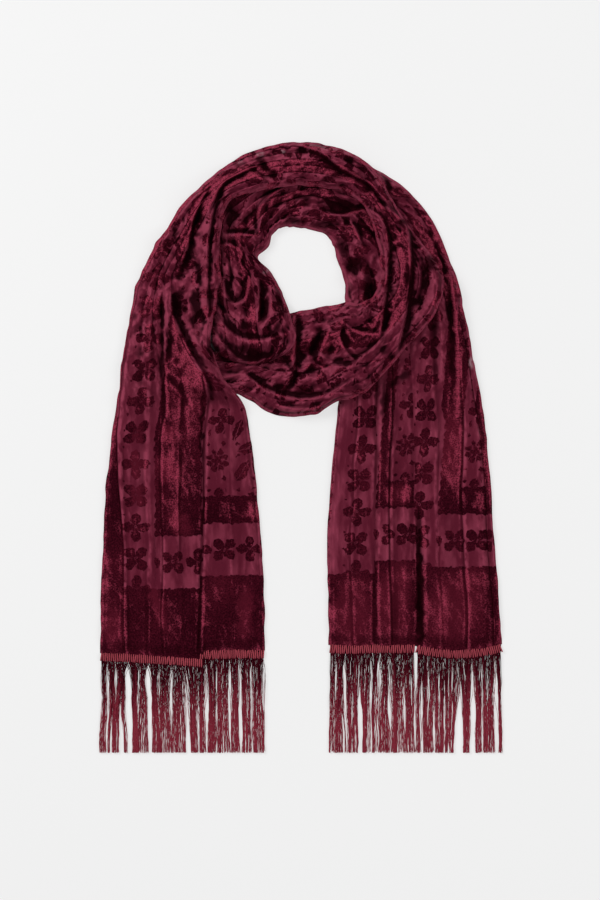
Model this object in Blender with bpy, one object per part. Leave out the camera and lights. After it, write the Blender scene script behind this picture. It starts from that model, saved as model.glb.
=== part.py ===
"""A devore velvet scarf, wound into one loop and laid flat, with a fringed braid at each end.

Metres, +Z up. The scarf lies on the plane z = 0, its ends point along -Y and its loop along +Y.
The tables below are in millimetres, measured from the middle of the laid scarf.

The cloth is one length, seen as six stretches. Going along it from the end on the right:
right_tail, loop_under, loop_left, loop_front, loop_over and left_tail.
Each stretch is the gathered cloth as it lies: a flat underside, edges where the layers show,
and lengthwise folds on top. A stretch that crosses others is laid on their surfaces.
"""

import math
import random
from collections import namedtuple

import bmesh
import bpy
from mathutils import Vector
from mathutils.bvhtree import BVHTree

MM = 0.001

# Driving sizes, in millimetres
LAID_LENGTH = 642.0
GAP = 0.3
LAYER = 2.2
EDGE_ROLL = 16.0
EDGE_INSET = 4.0
BRAID_WIDTH = 7.6
BRAID_THICKNESS = 2.4
FRINGE_END = -LAID_LENGTH / 2

# A fold's flank, as a share of its crest's height half way down
FLANK = 0.75

# A lock of fringe: its width at the root and the tip, its thickness, how far its tip strays sideways,
# the least and greatest height of its underside, and what share of the full length it may lack
LOCK_WIDTH = 1.15
LOCK_TIP = 0.90
LOCK_THICKNESS = 0.9
LOCK_SWAY = 0.4
LOCK_LOWEST = 0.5
LOCK_HIGHEST = 1.4
LOCK_SHORTFALLS = (0.0, 0.006, 0.012, 0.018)

# How finely the cloth and the fringe are cut into faces
TAIL_STEPS = 14
LOOP_STEPS = 16
SHORT_LOOP_STEPS = 12
LONG_LOOP_STEPS = 23
UNDERSIDE_POINTS = 7
UNDERSIDE_INSET = 2.5
LOCK_STEPS = 3
SHARP_ANGLE = 50.0

# How a stretch is laid on the ones below it: it clears what lies within reach,
# then comes down at a steady slope
REACH = 15.0
SLOPE = 0.55
FARTHEST = 45.0
RING_SPACING = 5.0
RING_POINTS = 12
CLEARANCE = 1.0
SKY = 200.0

# How far to each side a tail's end looks for a braid to stay clear of
HEM_WINDOW = 22.0

# A cross-section of a stretch: its two edge points, how far its middle leads, and its thickness.
# Left and right are as seen walking along the cloth.
Section = namedtuple("Section", "left_x left_y right_x right_y lead thick")

# A lengthwise fold: where its crest lies across the stretch at the start and at the end,
# from 0 at the left edge to 1 at the right, and how high it stands there.
Fold = namedtuple("Fold", "start end rise_start rise_end")

# A length of fringed braid: its two ends and the middle of its top edge, and its locks of fringe
Braid = namedtuple("Braid", "name start_x start_y middle_y end_x end_y locks seed")

# A point on the rolled edge of two layers: how far in it lies, and its height counted in layers
EdgePoint = namedtuple("EdgePoint", "inset layers")

LAYERED_EDGE = (
    EdgePoint(0.7, 0.25),
    EdgePoint(0.0, 0.55),
    EdgePoint(0.9, 0.90),
    EdgePoint(2.8, 1.05),
    EdgePoint(1.3, 1.30),
    EdgePoint(1.0, 1.60),
    EdgePoint(2.2, 1.90),
)

RIGHT_TAIL = (
    Section(29.0, -206.5, 211.0, -205.5, 0.0, 5.0),
    Section(28.0, -159.5, 208.5, -159.5, 0.0, 5.5),
    Section(27.5, -96.5, 203.0, -96.5, 0.0, 6.0),
    Section(31.0, -33.5, 199.0, -33.5, 0.0, 6.5),
    Section(37.5, 29.5, 192.5, 29.5, 0.0, 7.0),
    Section(43.5, 92.5, 182.0, 92.5, 0.0, 7.5),
    Section(47.0, 143.0, 171.0, 147.0, 0.0, 8.0),
    Section(46.0, 171.0, 163.0, 179.5, 0.0, 8.5),
)
LOOP_UNDER = (
    RIGHT_TAIL[-1],
    Section(37.5, 199.5, 152.0, 209.0, 0.0, 8.5),
    Section(33.0, 215.0, 137.0, 241.5, 0.0, 8.5),
    Section(22.5, 225.0, 113.0, 270.0, 0.0, 8.0),
    Section(6.0, 229.5, 82.5, 291.5, 0.0, 8.0),
    Section(-10.0, 231.0, 43.5, 310.0, 0.0, 7.5),
    Section(-21.5, 230.0, 1.5, 300.5, 0.0, 7.5),
    Section(-30.0, 222.5, -39.5, 287.5, 0.0, 7.5),
    Section(-34.0, 211.0, -66.5, 269.0, 0.0, 8.0),
    Section(-44.5, 198.5, -79.5, 245.5, 0.0, 8.5),
)
LOOP_LEFT = (
    LOOP_UNDER[-1],
    Section(-33.0, 186.0, -86.0, 218.0, 0.0, 9.0),
    Section(-23.5, 171.0, -92.0, 188.0, 0.0, 9.5),
    Section(-14.0, 152.0, -98.0, 160.0, 0.0, 9.5),
    Section(-8.0, 129.0, -101.0, 132.5, 2.0, 9.0),
    Section(-5.0, 110.0, -99.0, 112.0, 8.0, 8.0),
    Section(-16.0, 98.0, -90.0, 100.0, 12.0, 6.5),
)
LOOP_FRONT = (
    Section(-66.0, 121.0, -90.0, 77.0, 0.0, 5.5),
    Section(-38.0, 132.0, -60.0, 54.0, 0.0, 7.0),
    Section(-14.0, 139.5, -34.0, 39.0, 0.0, 9.0),
    Section(4.5, 145.0, -10.0, 34.0, 0.0, 10.5),
    Section(24.5, 149.0, 16.0, 35.5, 0.0, 10.5),
    Section(43.5, 151.5, 41.5, 49.0, 0.0, 10.0),
    Section(59.5, 152.0, 69.0, 60.0, 0.0, 9.5),
    Section(71.0, 156.5, 98.0, 91.5, 0.0, 9.5),
    Section(78.0, 164.0, 125.5, 121.0, 0.0, 9.5),
    Section(81.5, 173.0, 143.5, 144.0, 0.0, 9.5),
    Section(83.5, 186.0, 149.5, 174.5, 0.0, 9.5),
)
LOOP_OVER = (
    LOOP_FRONT[-1],
    Section(80.5, 208.0, 141.0, 196.5, 0.0, 9.5),
    Section(75.0, 230.0, 125.5, 216.5, 0.0, 9.5),
    Section(67.5, 248.0, 107.5, 241.5, 0.0, 9.0),
    Section(55.0, 261.5, 88.5, 272.0, 0.0, 9.0),
    Section(36.0, 270.0, 64.5, 302.0, 0.0, 9.0),
    Section(15.0, 273.0, 35.0, 315.5, 0.0, 9.0),
    Section(-6.0, 273.0, 1.5, 321.0, 0.0, 9.0),
    Section(-27.0, 272.0, -31.0, 318.0, 0.0, 9.0),
    Section(-46.5, 269.0, -59.5, 308.5, 0.0, 9.0),
    Section(-63.5, 263.5, -84.5, 291.5, 0.0, 9.0),
    Section(-75.0, 255.0, -106.5, 273.0, 0.0, 9.0),
    Section(-82.0, 241.5, -124.5, 255.0, 0.0, 9.5),
    Section(-84.0, 222.5, -140.0, 233.0, 0.0, 9.5),
    Section(-84.5, 199.5, -154.0, 212.0, 0.0, 9.5),
    Section(-85.0, 174.5, -166.5, 185.0, 0.0, 9.5),
)
LEFT_TAIL = (
    LOOP_OVER[-1],
    Section(-90.0, 145.0, -178.0, 147.0, 0.0, 9.0),
    Section(-93.0, 113.5, -184.0, 113.5, 0.0, 8.5),
    Section(-83.5, 76.5, -189.5, 80.0, 0.0, 8.0),
    Section(-61.5, 48.5, -193.5, 45.0, 0.0, 7.5),
    Section(-53.0, 8.5, -199.5, 8.5, 0.0, 7.0),
    Section(-46.5, -44.0, -205.0, -44.0, 0.0, 6.5),
    Section(-41.5, -102.0, -208.0, -102.0, 0.0, 6.0),
    Section(-38.5, -159.5, -210.0, -159.5, 0.0, 5.5),
    Section(-38.0, -212.0, -211.0, -215.0, 0.0, 5.0),
)

RIGHT_TAIL_FOLDS = (
    Fold(0.07, 0.07, 1.0, 2.8),
    Fold(0.19, 0.19, 1.8, 3.2),
    Fold(0.30, 0.32, 3.2, 3.4),
    Fold(0.44, 0.45, 2.6, 3.6),
    Fold(0.58, 0.58, 3.6, 3.4),
    Fold(0.71, 0.70, 1.4, 3.6),
    Fold(0.82, 0.82, 2.4, 3.2),
    Fold(0.93, 0.93, 1.4, 2.8),
)
UNDER_FOLDS = (
    Fold(0.07, 0.08, 2.8, 3.4),
    Fold(0.19, 0.22, 3.2, 4.2),
    Fold(0.32, 0.38, 3.4, 4.4),
    Fold(0.45, 0.53, 3.6, 4.2),
    Fold(0.58, 0.67, 3.4, 3.8),
    Fold(0.70, 0.79, 3.6, 3.2),
    Fold(0.82, 0.88, 3.2, 2.6),
    Fold(0.93, 0.95, 2.8, 2.0),
)
LOOP_LEFT_FOLDS = (
    Fold(0.08, 0.08, 3.4, 3.0),
    Fold(0.22, 0.20, 4.2, 4.2),
    Fold(0.38, 0.33, 4.4, 4.2),
    Fold(0.53, 0.47, 4.2, 3.6),
    Fold(0.67, 0.61, 3.8, 3.4),
    Fold(0.79, 0.75, 3.2, 3.2),
    Fold(0.90, 0.89, 2.6, 2.6),
)
FRONT_FOLDS = (
    Fold(0.08, 0.09, 2.0, 3.4),
    Fold(0.22, 0.24, 3.2, 3.8),
    Fold(0.36, 0.38, 4.0, 3.8),
    Fold(0.50, 0.53, 4.4, 4.0),
    Fold(0.64, 0.67, 4.0, 4.2),
    Fold(0.78, 0.80, 3.2, 3.8),
    Fold(0.91, 0.92, 2.4, 3.2),
)
OVER_FOLDS = (
    Fold(0.09, 0.08, 3.4, 3.0),
    Fold(0.24, 0.22, 3.8, 3.6),
    Fold(0.38, 0.36, 3.8, 3.4),
    Fold(0.53, 0.51, 4.0, 3.6),
    Fold(0.67, 0.66, 4.2, 3.4),
    Fold(0.80, 0.80, 3.8, 3.2),
    Fold(0.92, 0.92, 3.2, 2.8),
)
LEFT_TAIL_FOLDS = (
    Fold(0.08, 0.07, 3.0, 1.2),
    Fold(0.22, 0.21, 3.6, 1.8),
    Fold(0.36, 0.34, 3.4, 1.4),
    Fold(0.51, 0.44, 3.6, 3.2),
    Fold(0.66, 0.58, 3.4, 2.0),
    Fold(0.80, 0.74, 3.2, 1.6),
    Fold(0.92, 0.88, 2.8, 3.0),
)

LEFT_BRAIDS = (
    Braid("left_fringe_upper", -210.0, -215.4, -218.2, -105.5, -222.0, 44, 3),
    Braid("left_fringe_lower", -103.0, -213.6, -212.6, -39.0, -212.6, 28, 5),
)
RIGHT_BRAIDS = (
    Braid("right_fringe_left", 30.5, -206.9, -207.8, 73.5, -206.9, 20, 7),
    Braid("right_fringe_middle", 76.0, -206.9, -207.4, 119.0, -207.0, 20, 11),
    Braid("right_fringe_right", 121.5, -207.2, -212.5, 210.0, -206.1, 40, 13),
)

VELVET = ("burgundy_velvet", (0.085, 0.008, 0.022, 1.0), 0.85)
SILK = ("rose_silk_fringe", (0.26, 0.035, 0.06, 1.0), 0.45)


def clear_scene():
    """Removes what the startup scene holds."""
    for thing in list(bpy.data.objects):
        bpy.data.objects.remove(thing, do_unlink=True)


def material(name, colour, roughness):
    """A plain surface with the photographed colour."""
    made = bpy.data.materials.new(name)
    made.use_nodes = True
    shader = made.node_tree.nodes["Principled BSDF"]
    shader.inputs["Base Color"].default_value = colour
    shader.inputs["Roughness"].default_value = roughness
    shader.inputs["Metallic"].default_value = 0.0
    return made


def mix(a, b, share):
    return a + (b - a) * share


def smooth(before, here, there, after, s):
    """A value between here and there on the Catmull-Rom curve through the four."""
    slope = (there - before) * s
    bend = (2 * before - 5 * here + 4 * there - after) * s**2
    twist = (3 * here - before - 3 * there + after) * s**3
    return here + (slope + bend + twist) / 2


def along(rows, share):
    """The cross-section at a share of the way along a stretch, on a smooth curve through its rows."""
    place = share * (len(rows) - 1)
    k = min(int(place), len(rows) - 2)
    near = rows[max(k - 1, 0)], rows[k], rows[k + 1], rows[min(k + 2, len(rows) - 1)]
    return Section(*(smooth(*values, place - k) for values in zip(*near)))


def support_height(x, y, below):
    """The height that a cloth laid at x, y rests at, over what lies below it and sloping down beside it."""
    found = 0.0
    for ring in range(round(FARTHEST / RING_SPACING) + 1):
        radius = ring * RING_SPACING
        drop = SLOPE * max(radius - REACH, 0.0)
        for k in range(RING_POINTS):
            turn = 2 * math.pi * k / RING_POINTS
            spot = Vector((x + radius * math.cos(turn), y + radius * math.sin(turn), SKY))
            for surface in below:
                hit = surface.ray_cast(spot * MM, Vector((0, 0, -1)))[0]
                if hit is not None:
                    found = max(found, hit.z / MM + CLEARANCE - drop)
    return found


def crest_line(folds, share):
    """Points across the top of a stretch: (place from 0 to 1, height of the fold there)."""
    crests = [(mix(f.start, f.end, share), mix(f.rise_start, f.rise_end, share)) for f in folds]
    line = []
    for k, (place, rise) in enumerate(crests):
        left = crests[k - 1][0] if k else 0.0
        right = crests[k + 1][0] if k + 1 < len(crests) else 1.0
        valley_left, valley_right = (left + place) / 2, (right + place) / 2
        if k:
            line.append((valley_left, 0.0))
        line.append(((valley_left + place) / 2, FLANK * rise))
        line.append((place, rise))
        line.append(((place + valley_right) / 2, FLANK * rise))
    return line


def body_height(distance, thick):
    """The cloth's height above its underside at a distance in from the nearer edge."""
    edge = 2 * LAYER
    if distance >= EDGE_ROLL:
        return max(thick, edge)
    roll = math.sqrt(1 - (1 - distance / EDGE_ROLL) ** 2)
    return edge + max(thick - edge, 0.0) * roll


def section_points(row, folds, share, below, shift):
    """The closed cross-section of a stretch as points in millimetres, moved along the cloth by shift."""
    left, right = Vector((row.left_x, row.left_y)), Vector((row.right_x, row.right_y))
    width = (right - left).length
    across = (right - left) / width
    ahead = Vector((-across.y, across.x))

    def spot(inward):
        c = inward / width
        return left + across * inward + ahead * (row.lead * 4 * c * (1 - c) + shift)

    def placed(inward, height, floor):
        at = spot(inward)
        return Vector((at.x, at.y, floor + height))

    def floor_at(inward):
        at = spot(inward)
        return support_height(at.x, at.y, below) if below else 0.0

    left_floor, right_floor = floor_at(0.0), floor_at(width)
    points = [placed(p.inset, p.layers * LAYER, left_floor) for p in LAYERED_EDGE]
    for place, rise in crest_line(folds, share):
        inward = mix(EDGE_INSET, width - EDGE_INSET, place)
        height = body_height(min(inward, width - inward), row.thick) + rise
        points.append(placed(inward, height, floor_at(inward)))
    points += [placed(width - p.inset, p.layers * LAYER, right_floor) for p in reversed(LAYERED_EDGE)]
    for k in range(UNDERSIDE_POINTS):
        inward = mix(width - UNDERSIDE_INSET, UNDERSIDE_INSET, k / (UNDERSIDE_POINTS - 1))
        points.append(placed(inward, 0.0, floor_at(inward)))
    return points


def skin(name, sections, finish):
    """One closed body through a row of closed cross-sections with equal numbers of points."""
    mesh = bmesh.new()
    rings = [[mesh.verts.new(p * MM) for p in section] for section in sections]
    count = len(rings[0])
    for one, two in zip(rings, rings[1:]):
        for k in range(count):
            mesh.faces.new((one[k], one[(k + 1) % count], two[(k + 1) % count], two[k]))
    ends = [mesh.faces.new(corners) for ring in (rings[0], rings[-1]) for corners in end_faces(ring)]
    bmesh.ops.triangulate(mesh, faces=ends)
    bmesh.ops.recalc_face_normals(mesh, faces=mesh.faces)
    return add_object(name, mesh, finish)


def end_faces(ring):
    """The faces that close a stretch's end, each short across the cloth, as lists of its corners."""
    edge = len(LAYERED_EDGE)
    upper, lower = ring[:-UNDERSIDE_POINTS], ring[:-UNDERSIDE_POINTS - 1:-1]
    left, top, right = upper[:edge], upper[edge:-edge], upper[-edge:]
    faces = [left + [top[0], lower[0]], right + [lower[-1], top[-1]]]
    i = j = 0
    while i + j < len(top) + len(lower) - 2:
        if (i + 1) * (len(lower) - 1) <= (j + 1) * (len(top) - 1):
            faces.append([top[i], top[i + 1], lower[j]])
            i += 1
        else:
            faces.append([top[i], lower[j + 1], lower[j]])
            j += 1
    return faces


def add_object(name, mesh, finish):
    """A named object from a bmesh, in the scarf's collection."""
    data = bpy.data.meshes.new(name)
    mesh.to_mesh(data)
    mesh.free()
    data.materials.append(finish)
    made = bpy.data.objects.new(name, data)
    bpy.data.collections["velvet_scarf"].objects.link(made)
    data.shade_smooth()
    data.set_sharp_from_angle(angle=math.radians(SHARP_ANGLE))
    return made


def hem_line(x, braids):
    """How far down a tail reaches at x: to the highest of the braids' upper edges within the window."""
    tops = []
    for braid in braids:
        for wanted in (x - HEM_WINDOW, x, x + HEM_WINDOW):
            near = min(max(wanted, braid.start_x), braid.end_x)
            if abs(near - x) <= HEM_WINDOW:
                tops.append(braid_top(braid, (near - braid.start_x) / (braid.end_x - braid.start_x)).y)
    return max(tops) + GAP


def stretch(name, rows, folds, steps, finish, below=(), hem_step=None, braids=()):
    """One stretch of the gathered cloth, laid on the stretches below it, and hemmed to its braids."""
    surfaces = [surface_of(thing) for thing in below]
    sections = []
    for j in range(steps + 1):
        share = j / steps
        shift = {0: GAP / 2, steps: -GAP / 2}.get(j, 0.0)
        section = section_points(along(rows, share), folds, share, surfaces, shift)
        if j == hem_step:
            section = [Vector((p.x, hem_line(p.x, braids), p.z)) for p in section]
        sections.append(section)
    return skin(name, sections, finish)


def surface_of(thing):
    """A stretch's surface, to lay the next one on."""
    mesh = bmesh.new()
    mesh.from_mesh(thing.data)
    tree = BVHTree.FromBMesh(mesh)
    mesh.free()
    return tree


def braid_top(braid, share):
    """A point on the braid's upper edge, on a parabola through its ends and middle."""
    x = mix(braid.start_x, braid.end_x, share)
    chord = mix(braid.start_y, braid.end_y, share)
    bow = braid.middle_y - (braid.start_y + braid.end_y) / 2
    return Vector((x, chord + bow * 4 * share * (1 - share), 0.0))


def lock_path(root, chance):
    """Where a lock lies below its root: (x, y, width, height of its underside) at each step."""
    sway = chance.uniform(-LOCK_SWAY, LOCK_SWAY)
    shortfall = chance.choice(LOCK_SHORTFALLS)
    for step in range(1, LOCK_STEPS + 1):
        down = step / LOCK_STEPS
        x = root.x + sway * down
        y = mix(root.y, FRINGE_END, down * (1 - shortfall))
        yield x, y, mix(LOCK_WIDTH, LOCK_TIP, down), chance.uniform(LOCK_LOWEST, LOCK_HIGHEST)


def fringed_braid(braid, finish):
    """A braid with its fringe fused into its lower edge, as one closed body."""
    mesh = bmesh.new()
    slots = 2 * braid.locks + 1
    columns = []
    for k in range(slots + 1):
        top = braid_top(braid, k / slots)
        low = top - Vector((0, BRAID_WIDTH, 0))
        columns.append(
            [
                mesh.verts.new(Vector((p.x, p.y, z)) * MM)
                for p, z in ((top, 0.0), (top, BRAID_THICKNESS), (low, BRAID_THICKNESS), (low, 0.0))
            ]
        )
    roots = []
    for k, (one, two) in enumerate(zip(columns, columns[1:])):
        for a, b in ((0, 1), (1, 2), (2, 3), (3, 0)):
            face = mesh.faces.new((one[a], one[b], two[b], two[a]))
            if (a, b) == (2, 3) and k % 2:
                roots.append(face)
    mesh.faces.new(columns[0][::-1])
    mesh.faces.new(columns[-1])
    chance = random.Random(braid.seed)
    for root in roots:
        grow_lock(mesh, root, chance)
    bmesh.ops.recalc_face_normals(mesh, faces=mesh.faces)
    return add_object(braid.name, mesh, finish)


def grow_lock(mesh, root, chance):
    """Draws a lock of fringe out of its root face, step by step."""
    start = root.calc_center_median() / MM
    for x, y, width, low in lock_path(start, chance):
        grown = bmesh.ops.extrude_discrete_faces(mesh, faces=[root])
        root = grown["faces"][0]
        middle = root.calc_center_median()
        for vert in root.verts:
            side = math.copysign(width / 2, vert.co.x - middle.x)
            height = low + (LOCK_THICKNESS if vert.co.z > middle.z else 0.0)
            vert.co = Vector((x + side, y, height)) * MM


def build():
    """Makes the scarf, stretch by stretch, in the order in which it is laid down."""
    clear_scene()
    scarf = bpy.data.collections.new("velvet_scarf")
    bpy.context.scene.collection.children.link(scarf)
    velvet, silk = material(*VELVET), material(*SILK)
    right_tail = stretch(
        "right_tail", RIGHT_TAIL, RIGHT_TAIL_FOLDS, TAIL_STEPS, velvet, (), 0, RIGHT_BRAIDS
    )
    loop_under = stretch("loop_under", LOOP_UNDER, UNDER_FOLDS, LOOP_STEPS, velvet)
    loop_front = stretch("loop_front", LOOP_FRONT, FRONT_FOLDS, LOOP_STEPS, velvet, (right_tail, loop_under))
    loop_left = stretch("loop_left", LOOP_LEFT, LOOP_LEFT_FOLDS, SHORT_LOOP_STEPS, velvet, (loop_front,))
    below_over = (right_tail, loop_under, loop_left)
    stretch("loop_over", LOOP_OVER, OVER_FOLDS, LONG_LOOP_STEPS, velvet, below_over)
    below_tail = (loop_left, loop_front)
    stretch("left_tail", LEFT_TAIL, LEFT_TAIL_FOLDS, TAIL_STEPS, velvet, below_tail, TAIL_STEPS, LEFT_BRAIDS)
    for braid in LEFT_BRAIDS + RIGHT_BRAIDS:
        fringed_braid(braid, silk)


build()
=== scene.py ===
"""A burgundy devore velvet scarf, wound into a ring and laid flat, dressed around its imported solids.

The cloth is one length, seen as two runs of gathered folds. The lower run goes from the right-hand
end up under the ring and round to its left inner side. The upper run starts at the crossing in
front, goes up the right side and over the top, and ends in the left-hand tail. Plans, folds and
pattern are given in millimetres, and meshes are made in metres.
"""

import logging
import math
import random
from dataclasses import dataclass, field
from enum import Enum

import bmesh
import bpy
import numpy as np
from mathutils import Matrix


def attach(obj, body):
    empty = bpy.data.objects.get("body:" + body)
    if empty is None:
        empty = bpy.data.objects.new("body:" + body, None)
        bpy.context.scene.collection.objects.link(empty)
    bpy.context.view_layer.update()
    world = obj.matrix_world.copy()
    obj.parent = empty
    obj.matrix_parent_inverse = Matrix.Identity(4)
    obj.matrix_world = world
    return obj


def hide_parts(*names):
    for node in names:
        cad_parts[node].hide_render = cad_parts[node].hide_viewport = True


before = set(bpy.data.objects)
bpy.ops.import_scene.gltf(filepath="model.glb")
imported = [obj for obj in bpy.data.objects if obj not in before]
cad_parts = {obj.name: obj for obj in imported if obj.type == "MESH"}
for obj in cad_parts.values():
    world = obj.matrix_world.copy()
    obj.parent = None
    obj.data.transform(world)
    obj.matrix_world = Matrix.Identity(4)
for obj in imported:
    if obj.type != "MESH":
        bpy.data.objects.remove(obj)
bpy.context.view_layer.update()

log = logging.getLogger("velvet_scarf")

MM = 0.001
LAYER = 2.2
EDGE_ROLL = 16.0
EDGE_INSET = 4.0
CLOTH_MAP = "cloth"


class Slot(Enum):
    """The record's material slots."""

    VELVET = "velvet"
    FRINGE = "fringe"


# Node trees and their maths


class Value:
    """A number on a node tree. Arithmetic on it adds the tree's Math nodes."""

    def __init__(self, kit: "TreeKit", socket: bpy.types.NodeSocket) -> None:
        """Wraps an output socket.

        Args:
            socket: The output socket that gives the number.
        """
        self.kit = kit
        self.socket = socket

    def _math(self, operation: str, *inputs: "Value | float") -> "Value":
        """Adds one Math node.

        Args:
            operation: The node's operation.
            inputs: Its values, in order.

        Returns:
            The node's result.
        """
        node = self.kit.node("ShaderNodeMath", {"operation": operation}, dict(enumerate(inputs)))
        return Value(self.kit, node.outputs[0])

    def __add__(self, other: "Value | float") -> "Value":
        """The sum."""
        return self._math("ADD", self, other)

    __radd__ = __add__

    def __sub__(self, other: "Value | float") -> "Value":
        """The difference."""
        return self._math("SUBTRACT", self, other)

    def __rsub__(self, other: float) -> "Value":
        """A number less this one."""
        return self._math("SUBTRACT", other, self)

    def __mul__(self, other: "Value | float") -> "Value":
        """The product."""
        return self._math("MULTIPLY", self, other)

    __rmul__ = __mul__

    def __truediv__(self, other: "Value | float") -> "Value":
        """The quotient."""
        return self._math("DIVIDE", self, other)

    def __abs__(self) -> "Value":
        """The distance from zero."""
        return self._math("ABSOLUTE", self)

    def __neg__(self) -> "Value":
        """The opposite number."""
        return self._math("MULTIPLY", self, -1.0)

    def __pow__(self, power: float) -> "Value":
        """The power."""
        return self._math("POWER", self, power)

    def __mod__(self, period: float) -> "Value":
        """What is left over a whole number of periods, never negative."""
        return self._math("FLOORED_MODULO", self, period)

    def least(self, other: "Value | float") -> "Value":
        """The smaller of the two."""
        return self._math("MINIMUM", self, other)

    def most(self, other: "Value | float") -> "Value":
        """The larger of the two."""
        return self._math("MAXIMUM", self, other)

    def root(self) -> "Value":
        """The square root."""
        return self._math("SQRT", self)

    def whole(self) -> "Value":
        """The whole number at or below it."""
        return self._math("FLOOR", self)

    def turn_of(self, x: "Value") -> "Value":
        """The angle of the point whose y is this and whose x is given."""
        return self._math("ARCTAN2", self, x)

    def cosine(self) -> "Value":
        """The cosine."""
        return self._math("COSINE", self)

    def sine(self) -> "Value":
        """The sine."""
        return self._math("SINE", self)

    def ease(self, low: float, high: float) -> "Value":
        """Rises smoothly from 0 at low to 1 at high.

        Args:
            low: Where it is still 0.
            high: Where it has come to 1.

        Returns:
            The eased number.
        """
        inputs = {"Value": self, "From Min": low, "From Max": high}
        node = self.kit.node("ShaderNodeMapRange", {"interpolation_type": "SMOOTHSTEP"}, inputs)
        return Value(self.kit, node.outputs["Result"])


class TreeKit:
    """Adds nodes to one tree."""

    def __init__(self, tree: bpy.types.NodeTree) -> None:
        """Takes the tree that its nodes go on."""
        self.tree = tree

    def node(self, kind: str, settings: dict | None = None, inputs: dict | None = None) -> bpy.types.Node:
        """Adds a node.

        Args:
            kind: The node's type.
            settings: Its properties, which are set before its sockets.
            inputs: The value or link of each socket, by name or place.

        Returns:
            The node.
        """
        made = self.tree.nodes.new(kind)
        for key, value in (settings or {}).items():
            setattr(made, key, value)
        for key, value in (inputs or {}).items():
            if isinstance(value, Value):
                value = value.socket
            if isinstance(value, bpy.types.NodeSocket):
                self.tree.links.new(value, made.inputs[key])
            else:
                made.inputs[key].default_value = value
        return made

    def place(self, x: Value | float, y: Value | float, z: Value | float = 0.0) -> bpy.types.NodeSocket:
        """A vector from three numbers."""
        return self.node("ShaderNodeCombineXYZ", None, {0: x, 1: y, 2: z}).outputs[0]

    def parts(self, vector: bpy.types.NodeSocket) -> list[Value]:
        """A vector's three numbers."""
        return [Value(self, part) for part in self.node("ShaderNodeSeparateXYZ", None, {0: vector}).outputs]


class NodeKit(TreeKit):
    """Adds nodes to one material's tree."""

    def __init__(self, name: str) -> None:
        """Starts an empty material of the given name."""
        self.material = bpy.data.materials.new(name)
        self.material.use_nodes = True
        super().__init__(self.material.node_tree)
        self.tree.nodes.clear()

    def mix(self, share: Value, low: object, high: object) -> bpy.types.NodeSocket:
        """Mixes two colours.

        Args:
            share: How much of the second there is.
            low: The first colour or its socket.
            high: The second colour or its socket.

        Returns:
            The mixed colour's socket.
        """
        inputs = {0: share, 6: low, 7: high}
        return self.node("ShaderNodeMix", {"data_type": "RGBA"}, inputs).outputs[2]

    def noise(self, place: bpy.types.NodeSocket, scale: float, detail: float = 2.0) -> Value:
        """A soft random number over a place.

        Args:
            place: The vector that it varies with.
            scale: How fast it varies.
            detail: How many finer layers it has.

        Returns:
            The noise, about 0.5.
        """
        inputs = {"Vector": place, "Scale": scale, "Detail": detail}
        made = self.node("ShaderNodeTexNoise", {"noise_dimensions": "3D"}, inputs)
        return Value(self, made.outputs[0])

    def attribute(self, name: str) -> Value:
        """A number stored on the mesh."""
        made = self.node("ShaderNodeAttribute", {"attribute_name": name})
        return Value(self, made.outputs["Fac"])

    def object_place(self) -> list[Value]:
        """The place on the object, in millimetres."""
        coords = self.node("ShaderNodeTexCoord").outputs["Object"]
        return [part * 1000.0 for part in self.parts(coords)]

    def bump(self, height: Value, distance: float, strength: float = 1.0) -> bpy.types.NodeSocket:
        """The normal over a height.

        Args:
            height: The height, from 0 to 1.
            distance: How far 1 stands out, in metres.
            strength: How much of it shows.

        Returns:
            The normal's socket.
        """
        inputs = {"Height": height, "Distance": distance, "Strength": strength}
        return self.node("ShaderNodeBump", None, inputs).outputs[0]

    def shader(self, colour: bpy.types.NodeSocket, roughness: Value | float, gloss: "Gloss",
               more: dict | None = None) -> bpy.types.NodeSocket:
        """A surface of one colour and gloss.

        Args:
            colour: Its colour's socket.
            roughness: Its roughness.
            gloss: Its gloss.
            more: The values or links of its other sockets.

        Returns:
            The surface's socket.
        """
        inputs = {
            "Base Color": colour, "Roughness": roughness, "IOR": gloss.ior,
            "Specular IOR Level": gloss.level, "Specular Tint": gloss.tint, **(more or {}),
        }
        return self.node("ShaderNodeBsdfPrincipled", None, inputs).outputs[0]

    def finish(self, surface: bpy.types.NodeSocket) -> bpy.types.Material:
        """Closes the tree with its surface.

        Args:
            surface: The shader that the material shows.

        Returns:
            The material.
        """
        self.node("ShaderNodeOutputMaterial", None, {"Surface": surface})
        return self.material


Colour = tuple[float, float, float, float]


@dataclass(frozen=True)
class Gloss:
    """The weak gloss of a thread, which takes on the thread's colour."""

    ior: float = 1.2
    level: float = 0.08
    tint: Colour = (1.0, 0.3, 0.4, 1.0)


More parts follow.
